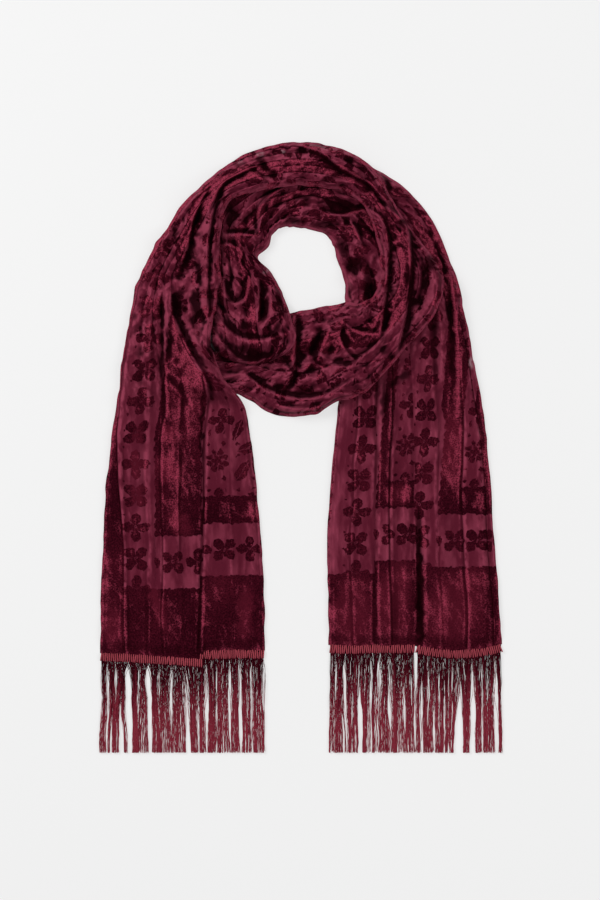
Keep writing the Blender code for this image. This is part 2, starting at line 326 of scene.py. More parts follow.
@dataclass(frozen=True)
class DevorePattern:
    """The burnt-out pattern of the cloth, in millimetres across (u) and along (v)."""

    repeat: float = 175.0
    column_low: float = 1.5
    column_high: float = 49.0
    column_middle: float = 29.0
    stripe_end: float = 98.0
    flower_pitch: float = 33.0
    flower_start: float = -13.5
    flower_radius: float = 14.8
    band_pitch: float = 27.0
    field_pitch: float = 84.0
    end_band: float = 70.0
    flower_band: float = 125.0
    upper_band: float = 153.0
    posy_radius: float = 13.8
    dot_aside: float = 12.5
    dot_pitch: float = 17.5
    dot_radius: float = 1.2
    sprinkle_across: float = 15.4
    sprinkle_along: float = 12.0
    sprinkle_radius: float = 1.9
    sprinkle_clear: float = 2.6
    rosettes: tuple[tuple[float, float, float, int, float], ...] = (
        (17.0, 23.0, 9.0, 8, 3.1), (17.0, 23.0, 4.6, 5, 2.1), (57.0, 64.0, 8.4, 7, 3.2),
        (57.0, 64.0, 4.0, 4, 2.2),
    )
    leaves: tuple[tuple[float, float, float, float, float], ...] = (
        (43.0, 12.0, 55.0, 13.0, 6.4), (61.0, 16.0, 120.0, 13.0, 6.2), (50.0, 36.0, 15.0, 14.0, 6.0),
        (37.0, 54.0, 80.0, 12.0, 5.0),
    )

    def strip(self, u: Value, low: float, high: float) -> Value:
        """How deep a point lies between two lines."""
        return (high - low) / 2 - abs(u - (low + high) / 2)

    def disc(self, x: Value, y: Value, radius: float) -> Value:
        """How deep a point lies in a circle round the origin."""
        return radius - (x * x + y * y).root()

    def flower(self, x: Value, y: Value, turned: Value | float, radius: float) -> Value:
        """How deep a point lies in a four-petalled flower.

        Args:
            x: Across, from its middle.
            y: Along, from its middle.
            turned: 0 with its petals upright and level, 1 with them on the diagonals.
            radius: How far the petals reach.

        Returns:
            The depth.
        """
        square = x * x + y * y + 0.01
        upright = abs(x * x - y * y) / square
        slanting = abs(x * y) * 2.0 / square
        lobes = upright + (slanting - upright) * turned
        reach = square.root()
        petals = (lobes ** 0.50) * radius - reach
        return petals.least(reach - 1.5).most(0.8 - reach)

    def leaf(self, x: Value, y: Value, angle: float, length: float, width: float) -> Value:
        """How deep a point lies in a pointed leaf with a vein.

        Args:
            x: Across, from its middle.
            y: Along, from its middle.
            angle: The way that it points, in degrees.
            length: Half its length.
            width: Half its width.

        Returns:
            The depth.
        """
        c, s = math.cos(math.radians(angle)), math.sin(math.radians(angle))
        ahead = x * c + y * s
        side = abs(y * c - x * s)
        blade = width - (ahead * ahead) * (width / length**2) - side
        return blade.least(side - 0.45)

    def rosette(self, x: Value, y: Value, radius: float, beads: int, bead: float) -> Value:
        """How deep a point lies in a ring of round beads with one in its middle.

        Args:
            x: Across, from its middle.
            y: Along, from its middle.
            radius: From the middle to each bead's middle.
            beads: How many beads the ring has.
            bead: Each bead's radius.

        Returns:
            The depth.
        """
        step = 2 * math.pi / beads
        local = (y.turn_of(x) + step * beads) % step - step / 2
        reach = (x * x + y * y).root()
        ring = self.disc(reach * local.cosine() - radius, reach * local.sine(), bead)
        return ring.most(bead * 1.25 - reach)

    def field(self, x: Value, v: Value) -> Value:
        """The depth in the rosettes, leaves and dots of the open panels.

        Args:
            x: Across, from the panel's edge.
            v: Along the cloth.

        Returns:
            The depth.
        """
        y = v % self.field_pitch
        made = self.flower(x - 18.0, y - 65.0, 0.0, 13.5)
        for middle_x, middle_y, radius, beads, bead in self.rosettes:
            made = made.most(self.rosette(x - middle_x, y - middle_y, radius, beads, bead))
        for middle_x, middle_y, angle, length, width in self.leaves:
            made = made.most(self.leaf(x - middle_x, y - middle_y, angle, length, width))
        lone_x = x % self.sprinkle_across - self.sprinkle_across / 2
        lone_y = (y + 2.0) % self.sprinkle_along - self.sprinkle_along / 2
        lone = self.disc(lone_x, lone_y, self.sprinkle_radius)
        clear = (0.0 - made) - self.sprinkle_clear
        return made.most(lone.least(clear))

    def depth(self, u: Value, v: Value) -> Value:
        """How deep a point lies in the pile, negative where the ground shows.

        Args:
            u: Across the cloth.
            v: Along the cloth from its nearer end.

        Returns:
            The depth.
        """
        across = u % self.repeat
        column = self.strip(across, self.column_low, self.column_high)
        field_side = self.strip(across, self.stripe_end, self.repeat)
        stripe = -(column.most(field_side))
        row = (v - self.flower_start) / self.flower_pitch
        local = ((v - self.flower_start) % self.flower_pitch) - self.flower_pitch / 2
        blossom = self.flower(across - self.column_middle, local, row.whole() % 2.0, self.flower_radius)
        small_y = v % self.dot_pitch - self.dot_pitch / 2
        small = self.disc(across - self.column_middle + self.dot_aside, small_y, self.dot_radius)
        columns = blossom.most(small).least(column)
        panels = self.field(across - self.stripe_end, v).least(field_side)
        cloth = stripe.most(columns).most(panels)
        place = u / self.band_pitch
        posy_x = (u % self.band_pitch) - self.band_pitch / 2
        posy_y = v - (self.end_band + self.flower_band) / 2
        posy = self.flower(posy_x, posy_y, (place.whole() + 1.0) % 2.0, self.posy_radius)
        band = self.strip(v, self.end_band, self.flower_band)
        cloth = cloth.least(-(band.least(-column))).most(posy.least(band).least(-column))
        upper = self.strip(v, self.flower_band, self.upper_band).least(-column)
        return cloth.most(upper).most(self.end_band - v)


@dataclass(frozen=True)
class DevoreVelvet:
    """Burn-out velvet: crushed silk pile in a pattern on a sheer satin ground."""

    name: str = "devore_velvet"
    # The darkest colour, for painted shade
    painted_shade_colour: Colour = (0.0050, 0.0003, 0.0010, 1.0)
    pile_dark: Colour = (0.016, 0.0009, 0.0034, 1.0)
    pile_mid: Colour = (0.078, 0.0060, 0.0150, 1.0)
    # The painted sheen of crushed pile
    pile_painted_sheen: Colour = (0.31, 0.036, 0.072, 1.0)
    ground: Colour = (0.100, 0.0098, 0.0235, 1.0)
    # The painted satin sheen of the ground
    ground_painted_sheen: Colour = (0.27, 0.042, 0.078, 1.0)
    pale: Colour = (0.42, 0.25, 0.285, 1.0)
    pattern: DevorePattern = field(default_factory=DevorePattern)
    pile_gloss: Gloss = Gloss(1.15, 0.1, (1.0, 0.25, 0.35, 1.0))
    ground_gloss: Gloss = Gloss(1.2, 0.12)
    thread_pitch: float = 0.9
    sway_reach: float = 7.5
    pile_edge: float = 0.45

    def build(self) -> bpy.types.Material:
        """Makes the material.

        Returns:
            The material, which reads the mesh's cloth map, its painted light and shade on slopes, its
            painted highlights on raised points and fold edges, its painted shade in sunk places and so on.
        """
        kit = NodeKit(self.name)
        uv = kit.node("ShaderNodeUVMap", {"uv_map": CLOTH_MAP}).outputs[0]
        u, v = (part * 1000.0 for part in kit.parts(uv)[:2])
        sway = kit.noise(kit.place(u, v), 0.20, 3.0) - 0.5
        sway_too = kit.noise(kit.place(v, u, 7.0), 0.20, 3.0) - 0.5
        depth = self.pattern.depth(u + sway * self.sway_reach, v + sway_too * self.sway_reach)
        pile = depth.ease(-self.pile_edge, self.pile_edge)
        painted_slope_shading, painted_hollow_shade, sheer, shine, crest, painted_rim_highlight, calm = (
            kit.attribute(name) for name in ("painted_slope_shading", "painted_hollow_shade", "sheer", "shine", "crest", "painted_rim_highlight", "calm")
        )
        # Painted light on slopes that face the light from the upper left, painted shade on slopes turned
        # from it
        painted_slope_light = painted_slope_shading.ease(0.0, 0.42)
        painted_slope_shade = (-painted_slope_shading).ease(0.06, 0.56)
        broad = kit.noise(kit.place(u * 0.016, v * 0.012, 2.0), 1.0, 2.0)
        patches = kit.noise(kit.place(u * 0.062 + v * 0.012, v * 0.040), 1.0, 3.0)
        x, y, _ = kit.object_place()
        brushed = kit.noise(kit.place(x * 0.060 + y * 0.026, x * 0.012 - y * 0.027, 4.0), 1.0, 3.0)
        patches = patches + (brushed - patches) * calm
        streaks = kit.noise(kit.place(u * 0.17 + v * 0.03, v * 0.085, 3.0), 1.0, 4.0)
        grain = kit.noise(kit.place(u, v, 5.0), 0.75, 3.0)
        whole = depth.ease(2.0, 8.0) * 0.14
        speckle = kit.noise(kit.place(u, v, 11.0), 1.5, 2.0)
        # Painted sheen where the pile is crushed, on raised points, on fold edges and slopes facing the
        # light, less in painted shade
        crushed = broad * 0.30 + patches * 0.50 + streaks * 0.44 + grain * 0.30 + whole + shine * 0.075
        crushed = crushed + painted_slope_light * 0.13 + crest * 0.15 - painted_slope_shade * 0.10 - painted_hollow_shade * 0.19
        crushed = crushed + painted_rim_highlight * 0.40 + 0.018 - calm * (v.ease(72.0, 66.0) * 0.07 + 0.018)
        crushed = crushed.ease(0.87, 1.15) * (grain * 0.9 + speckle * 1.0).ease(0.62, 1.12)
        # The pile's own mottle, with some painted sheen of crushed pile and fold edges
        pile_mottle_and_sheen = (grain * 0.7 + speckle * 0.4 + broad * 0.5 + shine * 0.24 + painted_rim_highlight * 0.3).ease(0.62, 1.08)
        pile_mottle_sheen_colour = kit.mix(pile_mottle_and_sheen, self.pile_dark, self.pile_mid)
        pile_colour = kit.mix(crushed, pile_mottle_sheen_colour, self.pile_painted_sheen)
        # Painted shade: sunk places, pockets under folds, the folds' shadows and slopes turned from the
        # light go towards the darkest colour
        dark = (painted_hollow_shade * 1.0 + painted_slope_shade * 0.24).least(0.93)
        pile_colour = kit.mix(dark, pile_colour, self.painted_shade_colour)
        lift = pile * 0.65 + grain * 0.30 + patches * 0.25 + streaks * 0.6
        sheen = {"Sheen Weight": 0.16, "Sheen Roughness": 0.3, "Sheen Tint": (0.80, 0.03, 0.10, 1.0)}
        sheen["Normal"] = kit.bump(lift, 0.0012, 0.9)
        velvet = kit.shader(pile_colour, 0.70 - crushed * 0.2, self.pile_gloss, sheen)
        turns = 2 * math.pi / self.thread_pitch
        threads = (u * turns).sine() * 0.25 + (v * turns).sine() * 0.25
        folds = kit.noise(kit.place(u * 0.075, v * 0.022, 9.0), 1.0, 3.0)
        # Painted satin sheen: soft streaks, slopes facing the light, raised points and fold edges
        satin = folds.ease(0.46, 0.72) * 0.34 + painted_slope_light * streaks.ease(0.26, 0.58) * 0.70
        satin = satin + crest * streaks.ease(0.36, 0.60) * 0.75 + calm * folds.ease(0.40, 0.66) * 0.22
        satin = (satin + painted_rim_highlight * streaks.ease(0.30, 0.55) * 0.9).least(1.0)
        ground_colour = kit.mix(satin, self.ground, self.ground_painted_sheen)
        # The same painted shade on the ground
        ground_colour = kit.mix(dark, ground_colour, self.painted_shade_colour)
        ground_colour = kit.mix(sheer, ground_colour, self.pale)
        relief = kit.bump(threads + pile * 1.5 + folds * 2.0, 0.00035, 0.8)
        cloth = kit.shader(ground_colour, 0.46, self.ground_gloss, {"Normal": relief})
        mixed = kit.node("ShaderNodeMixShader", None, {0: pile, 1: cloth, 2: velvet})
        return kit.finish(mixed.outputs[0])


@dataclass(frozen=True)
class SilkStrand:
    """Silky fringe, dark under its braid and redder towards the tips."""

    name: str = "silk_strand"
    dark: Colour = (0.036, 0.0024, 0.0062, 1.0)
    wine: Colour = (0.140, 0.0105, 0.0230, 1.0)
    red: Colour = (0.31, 0.036, 0.060, 1.0)

    def build(self) -> bpy.types.Material:
        """Makes the material.

        Returns:
            The material, which reads each strand's tone and how far down it a point is.
        """
        kit = NodeKit(self.name)
        down, tone = kit.attribute("down"), kit.attribute("tone")
        # Darker near the braid and redder towards the tips: partly the silk's own deeper tone, partly
        # painted shade under the braid and painted sheen lower down
        shade = (down * 1.25 + tone * 0.60 - 0.22).ease(0.0, 1.0)
        upper = kit.mix(shade.ease(0.0, 0.5), self.dark, self.wine)
        colour = kit.mix(shade.ease(0.35, 1.0), upper, self.red)
        return kit.finish(kit.shader(colour, 0.40, Gloss()))


@dataclass(frozen=True)
class RibbedBraid:
    """Rose-coloured gimp braid with a fine twist in each rib."""

    name: str = "ribbed_braid"
    dark: Colour = (0.016, 0.0009, 0.0026, 1.0)
    rose: Colour = (0.36, 0.058, 0.080, 1.0)
    twist_pitch: float = 1.1

    def build(self) -> bpy.types.Material:
        """Makes the material.

        Returns:
            The material, which reads Object coordinates.
        """
        kit = NodeKit(self.name)
        x, y, z = kit.object_place()
        twist = ((x * 0.9 + y * 1.6) * (2 * math.pi / self.twist_pitch)).sine() * 0.5 + 0.5
        patch = kit.noise(kit.place(x, y, z), 0.9, 2.0)
        # Lower points, under and between the ribs, go dark: painted shade; the twist and the patches are
        # the braid's own tone
        share = (twist * 0.30 + patch * 1.5 + (z - 2.1) * 0.75).ease(0.62, 1.42)
        colour = kit.mix(share, self.dark, self.rose)
        return kit.finish(kit.shader(colour, 0.45, Gloss(), {"Normal": kit.bump(twist, 0.0002, 0.6)}))


@dataclass(frozen=True)
class PaleTable:
    """The matt white surface that the scarf lies on."""

    name: str = "pale_table"
    white: Colour = (0.30, 0.30, 0.30, 1.0)
    lighter: Colour = (0.303, 0.303, 0.303, 1.0)
    glow: float = 0.595

    def build(self) -> bpy.types.Material:
        """Makes the material.

        Returns:
            The material, with the faintest unevenness.
        """
        kit = NodeKit(self.name)
        coords = kit.node("ShaderNodeTexCoord").outputs["Object"]
        grain = kit.noise(coords, 3.0, 2.0)
        colour = kit.mix(grain, self.white, self.lighter)
        inputs = {
            "Base Color": colour, "Roughness": 0.9, "Specular IOR Level": 0.1,
            "Emission Color": (1.0, 1.0, 1.0, 1.0), "Emission Strength": self.glow,
        }
        shader = kit.node("ShaderNodeBsdfPrincipled", None, inputs)
        return kit.finish(shader.outputs[0])


# The cloth's plan: left_x, left_y, right_x, right_y, lead and thickness of each cross-section,
# left and right as seen walking along the cloth from the right-hand end

RIGHT_TAIL = (
    (29.0, -206.5, 211.0, -205.5, 0.0, 5.0),
    (28.0, -159.5, 208.5, -159.5, 0.0, 5.5),
    (27.5, -96.5, 203.0, -96.5, 0.0, 6.0),
    (31.0, -33.5, 199.0, -33.5, 0.0, 6.5),
    (37.5, 29.5, 192.5, 29.5, 0.0, 7.0),
    (43.5, 92.5, 182.0, 92.5, 0.0, 7.5),
    (47.0, 143.0, 171.0, 147.0, 0.0, 8.0),
    (46.0, 171.0, 163.0, 179.5, 0.0, 8.5),
)
LOOP_UNDER = (
    (37.5, 199.5, 152.0, 209.0, 0.0, 8.5),
    (33.0, 215.0, 137.0, 241.5, 0.0, 8.5),
    (22.5, 225.0, 113.0, 270.0, 0.0, 8.0),
    (6.0, 229.5, 82.5, 291.5, 0.0, 8.0),
    (-10.0, 231.0, 43.5, 310.0, 0.0, 7.5),
    (-21.5, 230.0, 1.5, 300.5, 0.0, 7.5),
    (-30.0, 222.5, -39.5, 287.5, 0.0, 7.5),
    (-34.0, 211.0, -69.0, 272.0, 0.0, 8.0),
    (-44.5, 198.5, -90.0, 252.0, 0.0, 8.5),
)
LOOP_LEFT = (
    (-33.0, 186.0, -98.0, 222.0, 0.0, 9.0),
    (-23.5, 171.0, -101.0, 190.0, 0.0, 9.5),
    (-14.0, 152.0, -102.0, 161.0, 0.0, 9.5),
    (-8.0, 129.0, -101.0, 132.5, 2.0, 9.0),
    (-5.0, 110.0, -99.0, 112.0, 8.0, 8.0),
    (-16.0, 98.0, -90.0, 100.0, 12.0, 6.5),
)
LOOP_FRONT = (
    (-84.0, 128.0, -112.0, 66.0, 0.0, 5.5),
    (-38.0, 132.0, -60.0, 54.0, 0.0, 7.0),
    (-14.0, 139.5, -34.0, 39.0, 0.0, 9.0),
    (4.5, 145.0, -10.0, 34.0, 0.0, 10.5),
    (24.5, 149.0, 16.0, 35.5, 0.0, 10.5),
    (43.5, 151.5, 41.5, 49.0, 0.0, 10.0),
    (59.5, 152.0, 69.0, 60.0, 0.0, 9.5),
    (71.0, 156.5, 98.0, 91.5, 0.0, 9.5),
    (78.0, 164.0, 125.5, 121.0, 0.0, 9.5),
    (81.5, 173.0, 143.5, 144.0, 0.0, 9.5),
    (83.5, 186.0, 149.5, 174.5, 0.0, 9.5),
)
LOOP_OVER = (
    (80.5, 208.0, 141.0, 196.5, 0.0, 9.5),
    (75.0, 230.0, 125.5, 216.5, 0.0, 9.5),
    (67.5, 248.0, 107.5, 241.5, 0.0, 9.0),
    (55.0, 261.5, 88.5, 272.0, 0.0, 9.0),
    (36.0, 270.0, 64.5, 302.0, 0.0, 9.0),
    (15.0, 273.0, 35.0, 315.5, 0.0, 9.0),
    (-6.0, 273.0, 1.5, 321.0, 0.0, 9.0),
    (-27.0, 272.0, -31.0, 318.0, 0.0, 9.0),
    (-46.5, 269.0, -59.5, 308.5, 0.0, 9.0),
    (-63.5, 263.5, -84.5, 291.5, 0.0, 9.0),
    (-75.0, 255.0, -106.5, 273.0, 0.0, 9.0),
    (-82.0, 241.5, -124.5, 255.0, 0.0, 9.5),
    (-84.0, 222.5, -140.0, 233.0, 0.0, 9.5),
    (-84.5, 199.5, -154.0, 212.0, 0.0, 9.5),
    (-85.0, 174.5, -166.5, 185.0, 0.0, 9.5),
)
LEFT_TAIL = (
    (-90.0, 145.0, -178.0, 147.0, 0.0, 9.0),
    (-93.0, 113.5, -184.0, 113.5, 0.0, 8.5),
    (-83.5, 76.5, -189.5, 80.0, 0.0, 8.0),
    (-61.5, 48.5, -193.5, 45.0, 0.0, 7.5),
    (-53.0, 8.5, -199.5, 8.5, 0.0, 7.0),
    (-46.5, -44.0, -205.0, -44.0, 0.0, 6.5),
    (-41.5, -102.0, -208.0, -102.0, 0.0, 6.0),
    (-38.5, -159.5, -210.0, -159.5, 0.0, 5.5),
    (-38.0, -212.0, -211.0, -215.0, 0.0, 5.0),
)


@dataclass(frozen=True)
class BraidLine:
    """Where a length of fringed braid is sewn: its upper edge, from end to end, in millimetres."""

    node: str
    start_x: float
    start_y: float
    middle_y: float
    end_x: float
    end_y: float
    seed: int
    gaps: tuple[tuple[float, float], ...] = ()
    slack: tuple[float, float] = (0.0, 0.6)
    locks: tuple[float, ...] = (4.0, 5.5, 7.5, 10.0)

    def top(self, x: np.ndarray) -> np.ndarray:
        """The height down the cloth of the upper edge.

        Args:
            x: Places across, which are kept between its ends.

        Returns:
            The edge's y at each place.
        """
        share = np.clip((x - self.start_x) / (self.end_x - self.start_x), 0.0, 1.0)
        chord = self.start_y + (self.end_y - self.start_y) * share
        bow = self.middle_y - (self.start_y + self.end_y) / 2
        return chord + bow * 4 * share * (1 - share)


LEFT_BRAIDS = (
    BraidLine(
        "left_fringe_upper", -210.0, -215.4, -218.2, -104.0, -222.0, 3,
        ((-200.5, -197.5), (-192.0, -186.0)), (0.0, 0.5), (6.0, 9.0, 12.0, 16.0),
    ),
    BraidLine("left_fringe_lower", -105.6, -213.6, -212.6, -39.0, -212.6, 5, ((-59.0, -57.5),)),
)
RIGHT_BRAIDS = (
    BraidLine("right_fringe_left", 30.5, -206.9, -207.8, 75.4, -206.9, 7, ((59.0, 65.0), (44.0, 46.0))),
    BraidLine("right_fringe_middle", 75.0, -206.9, -207.4, 119.0, -207.0, 11, (), (-1.2, -0.4)),
    BraidLine(
        "right_fringe_right", 121.5, -207.2, -212.5, 210.0, -206.1, 13, ((160.0, 171.0), (177.0, 183.5)),
    ),
)


# Folds


@dataclass(frozen=True)
class Crease:
    """A listed fold: a line seen from above, walked with its steep side on the left.

    Its rise is above the cloth around it, or below it for a tuck. Slip is how much cloth the
    fold hides, and fade how far from its ends it dies away, all in millimetres.
    """

    line: tuple[tuple[float, float], ...]
    rise: float
    steep: float = 2.2
    gentle: float = 11.0
    slip: float = 0.0
    fade: float = 16.0


@dataclass(frozen=True)
class Rolls:
    """The lengthwise rolls of a run, at its key stations.

    Edges holds, for each inner valley, its place across at each key, rises each roll's height,
    slips the cloth hidden in each valley, lifts each roll's height over its neighbours, and
    flats how flat the rolls are, from 2 for a round one. First is the cloth's own place at the
    left edge, ahead is 1 where it counts up towards the right, and starts says how far from
    the run's end each roll's pattern begins.
    """

    keys: tuple[float, ...]
    edges: tuple[tuple[float, ...], ...]
    rises: tuple[tuple[float, ...], ...]
    slips: tuple[tuple[float, ...], ...]
    lifts: tuple[tuple[float, ...], ...]
    flats: tuple[float, ...]
    first: tuple[float, ...]
    ahead: int
    skews: tuple[float, ...]
    starts: tuple[float, ...]


LOWER_ROLLS = Rolls(
    keys=(0, 3, 5, 7, 10, 13, 16, 18, 20, 22),
    edges=(
        (0.14, 0.14, 0.13, 0.12, 0.14, 0.14, 0.13, 0.12, 0.13, 0.14),
        (0.28, 0.28, 0.26, 0.25, 0.27, 0.28, 0.26, 0.25, 0.27, 0.28),
        (0.36, 0.37, 0.38, 0.38, 0.40, 0.41, 0.40, 0.38, 0.40, 0.41),
        (0.533, 0.53, 0.52, 0.51, 0.53, 0.54, 0.53, 0.51, 0.53, 0.54),
        (0.66, 0.67, 0.69, 0.66, 0.65, 0.66, 0.65, 0.64, 0.65, 0.66),
        (0.79, 0.82, 0.875, 0.84, 0.77, 0.78, 0.77, 0.76, 0.77, 0.78),
        (0.96, 0.955, 0.95, 0.94, 0.90, 0.89, 0.89, 0.88, 0.89, 0.90),
    ),
    rises=(
        (1.0, 1.2, 2.0, 3.0, 1.4, 2.6, 3.0, 1.0, 0.6, 1.0),
        (1.2, 1.4, 2.2, 1.6, 3.4, 1.2, 0.8, 2.6, 1.8, 0.8),
        (2.6, 2.6, 2.8, 3.4, 1.6, 3.6, 3.0, 1.4, 2.8, 1.6),
        (1.4, 1.4, 1.6, 1.4, 3.6, 2.2, 1.0, 3.2, 1.0, 2.2),
        (1.6, 1.8, 2.0, 3.0, 1.6, 3.4, 2.8, 1.2, 3.0, 1.2),
        (1.6, 1.8, 2.2, 1.6, 3.2, 1.4, 2.6, 3.0, 1.0, 2.4),
        (1.8, 2.0, 2.4, 3.0, 1.4, 2.8, 1.2, 1.6, 2.4, 1.0),
        (1.2, 1.2, 1.8, 2.0, 2.4, 1.4, 2.2, 2.0, 1.2, 1.6),
    ),
    slips=(
        (0,) * 10,
        (1,) * 10,
        (38, 38, 38, 34) + (30,) * 6,
        (-104,) * 10,
        (0,) * 10,
        (31,) * 4 + (90,) * 6,
        (-60,) * 4 + (0,) * 6,
    ),
    lifts=(
        (0.0,) * 10,
        (0.2,) * 2 + (0.0,) * 8,
        (1.0, 0.9, 0.5, 0.3) + (0.0,) * 6,
        (-0.3, -0.3, -0.2) + (0.0,) * 7,
        (0.7, 0.6, 0.3) + (0.0,) * 7,
        (0.7, 0.6, 0.6, 0.3) + (0.0,) * 6,
        (0.3, 0.2) + (0.0,) * 8,
        (-1.2, -1.0, -0.6, -0.3) + (0.0,) * 6,
    ),
    flats=(7.0, 6.0, 4.0, 2.6, 2.4, 2.4, 2.4, 2.6, 2.6, 2.6),
    first=(-1, -1, 0, 4, 8, 8, 8, 8, 8, 8),
    ahead=1,
    skews=(0.15, -0.2, 0.25, -0.25, 0.2, 0.3, -0.2, 0.1),
    starts=(-4, -4, -18, -18, -11, -11, -11, -11),
)
UPPER_ROLLS = Rolls(
    keys=(0, 5, 10, 14, 18, 22, 25, 26, 27, 28, 29, 30, 32, 34),
    edges=(
        (0.15, 0.14, 0.15, 0.15, 0.14, 0.13, 0.15, 0.09, 0.06, 0.06, 0.12, 0.16, 0.18, 0.20),
        (0.30, 0.28, 0.30, 0.31, 0.30, 0.36, 0.62, 0.52, 0.36, 0.19, 0.27, 0.33, 0.375, 0.40),
        (0.44, 0.43, 0.45, 0.46, 0.45, 0.50, 0.70, 0.63, 0.50, 0.40, 0.46, 0.50, 0.51, 0.52),
        (0.58, 0.58, 0.60, 0.60, 0.60, 0.63, 0.78, 0.74, 0.65, 0.60, 0.62, 0.64, 0.62, 0.625),
        (0.72, 0.72, 0.74, 0.74, 0.74, 0.77, 0.86, 0.86, 0.82, 0.79, 0.78, 0.76, 0.71, 0.71),
        (0.87, 0.87, 0.88, 0.88, 0.88, 0.90, 0.95, 0.97, 0.985, 0.985, 0.98, 0.955, 0.863, 0.85),
    ),
    rises=(
        (2.0, 0.8, 3.0, 1.2, 2.8, 1.4, 3.0, 2.6, 2.2, 2.0, 1.6, 1.4, 1.2, 1.0),
        (1.2, 2.8, 1.2, 3.0, 0.8, 3.0, 1.6, 1.6, 1.8, 1.8, 1.6, 1.4, 1.2, 1.0),
        (3.0, 1.0, 3.2, 1.4, 3.2, 1.0, 2.8, 2.8, 2.6, 2.2, 2.0, 1.8, 1.6, 1.4),
        (1.0, 3.0, 1.0, 3.4, 1.6, 3.2, 1.2, 1.4, 1.6, 1.8, 1.6, 1.6, 1.4, 1.2),
        (2.8, 1.4, 3.4, 1.0, 3.4, 1.4, 2.8, 2.4, 2.0, 1.6, 1.4, 1.4, 1.2, 1.2),
        (1.2, 2.8, 1.4, 2.8, 1.0, 3.0, 1.6, 1.6, 1.6, 1.6, 1.4, 1.4, 1.2, 1.2),
        (2.0, 1.2, 2.4, 1.6, 2.6, 1.6, 2.0, 1.8, 1.4, 1.2, 1.0, 1.0, 1.0, 1.0),
    ),
    slips=(
        (0,) * 14,
        (-55,) * 5 + (-60, -65, -60, -56, -21) + (0,) * 4,
        (0,) * 14,
        (-40, -40, -40, -36, -30, -16) + (0,) * 8,
        (0,) * 14,
        (-10,) * 5 + (-6, -2, 0, 0, 0, 20, 76, 76, 76),
    ),
    lifts=(
        (0.0,) * 7 + (-0.3, -0.6, -0.8, -0.4, -0.2, -0.2, -0.2),
        (0.0,) * 7 + (-0.3, -0.8, -1.0, -0.5, -0.2, -0.2, -0.2),
        (0.0,) * 6 + (0.3, 0.4, 0.5, 0.6, 0.6, 0.6, 0.6, 0.6),
        (0.0,) * 8 + (0.2, 0.4, 0.5, 0.5, 0.5, 0.5),
        (0.0,) * 8 + (0.2, 0.3, 0.4, 0.5, 0.5, 0.5),
        (0.0,) * 8 + (0.2, 0.3, 0.4, 0.5, 0.5, 0.5),
        (0.0,) * 10 + (-0.3, -0.8, -1.1, -1.2),
    ),
    flats=(2.6,) * 7 + (2.8, 3.0, 3.6, 4.5, 6.0, 7.0, 7.0),
    first=(160,) * 7 + (155, 150, 130, 136, 150, 161, 165),
    ahead=-1,
    skews=(-0.2, 0.2, -0.3, 0.25, -0.2, 0.3, 0.0),
    starts=(-8.6, -8.6, 4, 4, 4, 4, -430),
)

LOWER_CREASES = tuple(Crease(*row) for row in (
    (((-44, 226), (-43, 250), (-29, 265), (-10, 276), (4, 281)), 2.6, 2.0, 9.0, 12.0),
    (((78, 292), (87, 276), (89, 258)), 2.0, 2.0, 8.0, 8.0),
    (((18, 246), (41, 243), (56, 246), (72, 249)), 2.4, 1.8, 8.0, 10.0),
    (((50, 240), (58, 225), (66, 205)), 2.2, 1.8, 8.0, 10.0),
    (((44, 199), (54, 186), (60, 172)), -2.5, 7.0, 7.0),
    (((-86, 222), (-62, 223), (-40, 220)), 2.4, 1.6, 6.0, 6.0),
    (((-86, 212), (-72, 211), (-62, 203), (-66, 192)), 1.5, 1.8, 7.0, 0.0, 9.0),
    (((-78, 194), (-76, 183), (-76, 170)), 2.2, 1.8, 6.0, 0.0, 8.0),
    (((-82, 182), (-79, 160), (-68, 150), (-57, 158), (-54, 182)), 3.0, 2.0, 7.0, 10.0, 10.0),
    (((-47, 184), (-44, 158), (-46, 126)), 2.6, 2.2, 8.0, 14.0),
    (((-32, 178), (-31, 152), (-34, 126)), 2.2, 7.0, 2.0, 0.0),
    (((-26, 154), (-20, 138), (-13, 122)), 2.0, 6.0, 6.0, 0.0, 10.0),
    (((-96, 128), (-82, 108), (-66, 92), (-48, 88), (-28, 96)), 2.6, 2.0, 9.0, 10.0),
    (((-90, 140), (-76, 122), (-58, 112), (-36, 112), (-16, 120)), 2.4, 1.8, 7.0, 0.0),
    (((164, 20), (165, 80), (162, 140), (156, 190)), 2.2, 2.4, 10.0, 6.0, 26.0),
    (((148, 60), (147, 110), (143, 160)), 1.6, 2.4, 9.0, 0.0, 24.0),
    (((123, -58), (124.5, -110), (125.5, -160), (125.5, -206)), -4.4, 3.4, 3.2, 0.0, 30.0),
    (((80, 60), (80, -20), (79, -110), (77, -206)), -1.4, 2.0, 2.4, 0.0, 6.0),
    (((95, 50), (95, -30), (94, -110), (94, -206)), 1.3, 2.4, 6.0, 0.0, 6.0),
    (((205, -60), (207, -120), (208, -206)), -1.6, 1.6, 1.6, 0.0, 10.0),
    (((52, -30), (50, -90), (47, -150), (48, -206)), 0.8, 5.0, 9.0, 0.0, 20.0),
    (((110, -20), (108, -90), (109, -140), (107, -206)), 0.9, 6.0, 6.0, 0.0, 20.0),
    (((146, -10), (145, -80), (149, -150), (150, -206)), 1.0, 6.0, 5.0, 0.0, 20.0),
    (((186, -20), (188, -100), (190, -206)), 0.8, 6.0, 6.0, 0.0, 20.0),
))
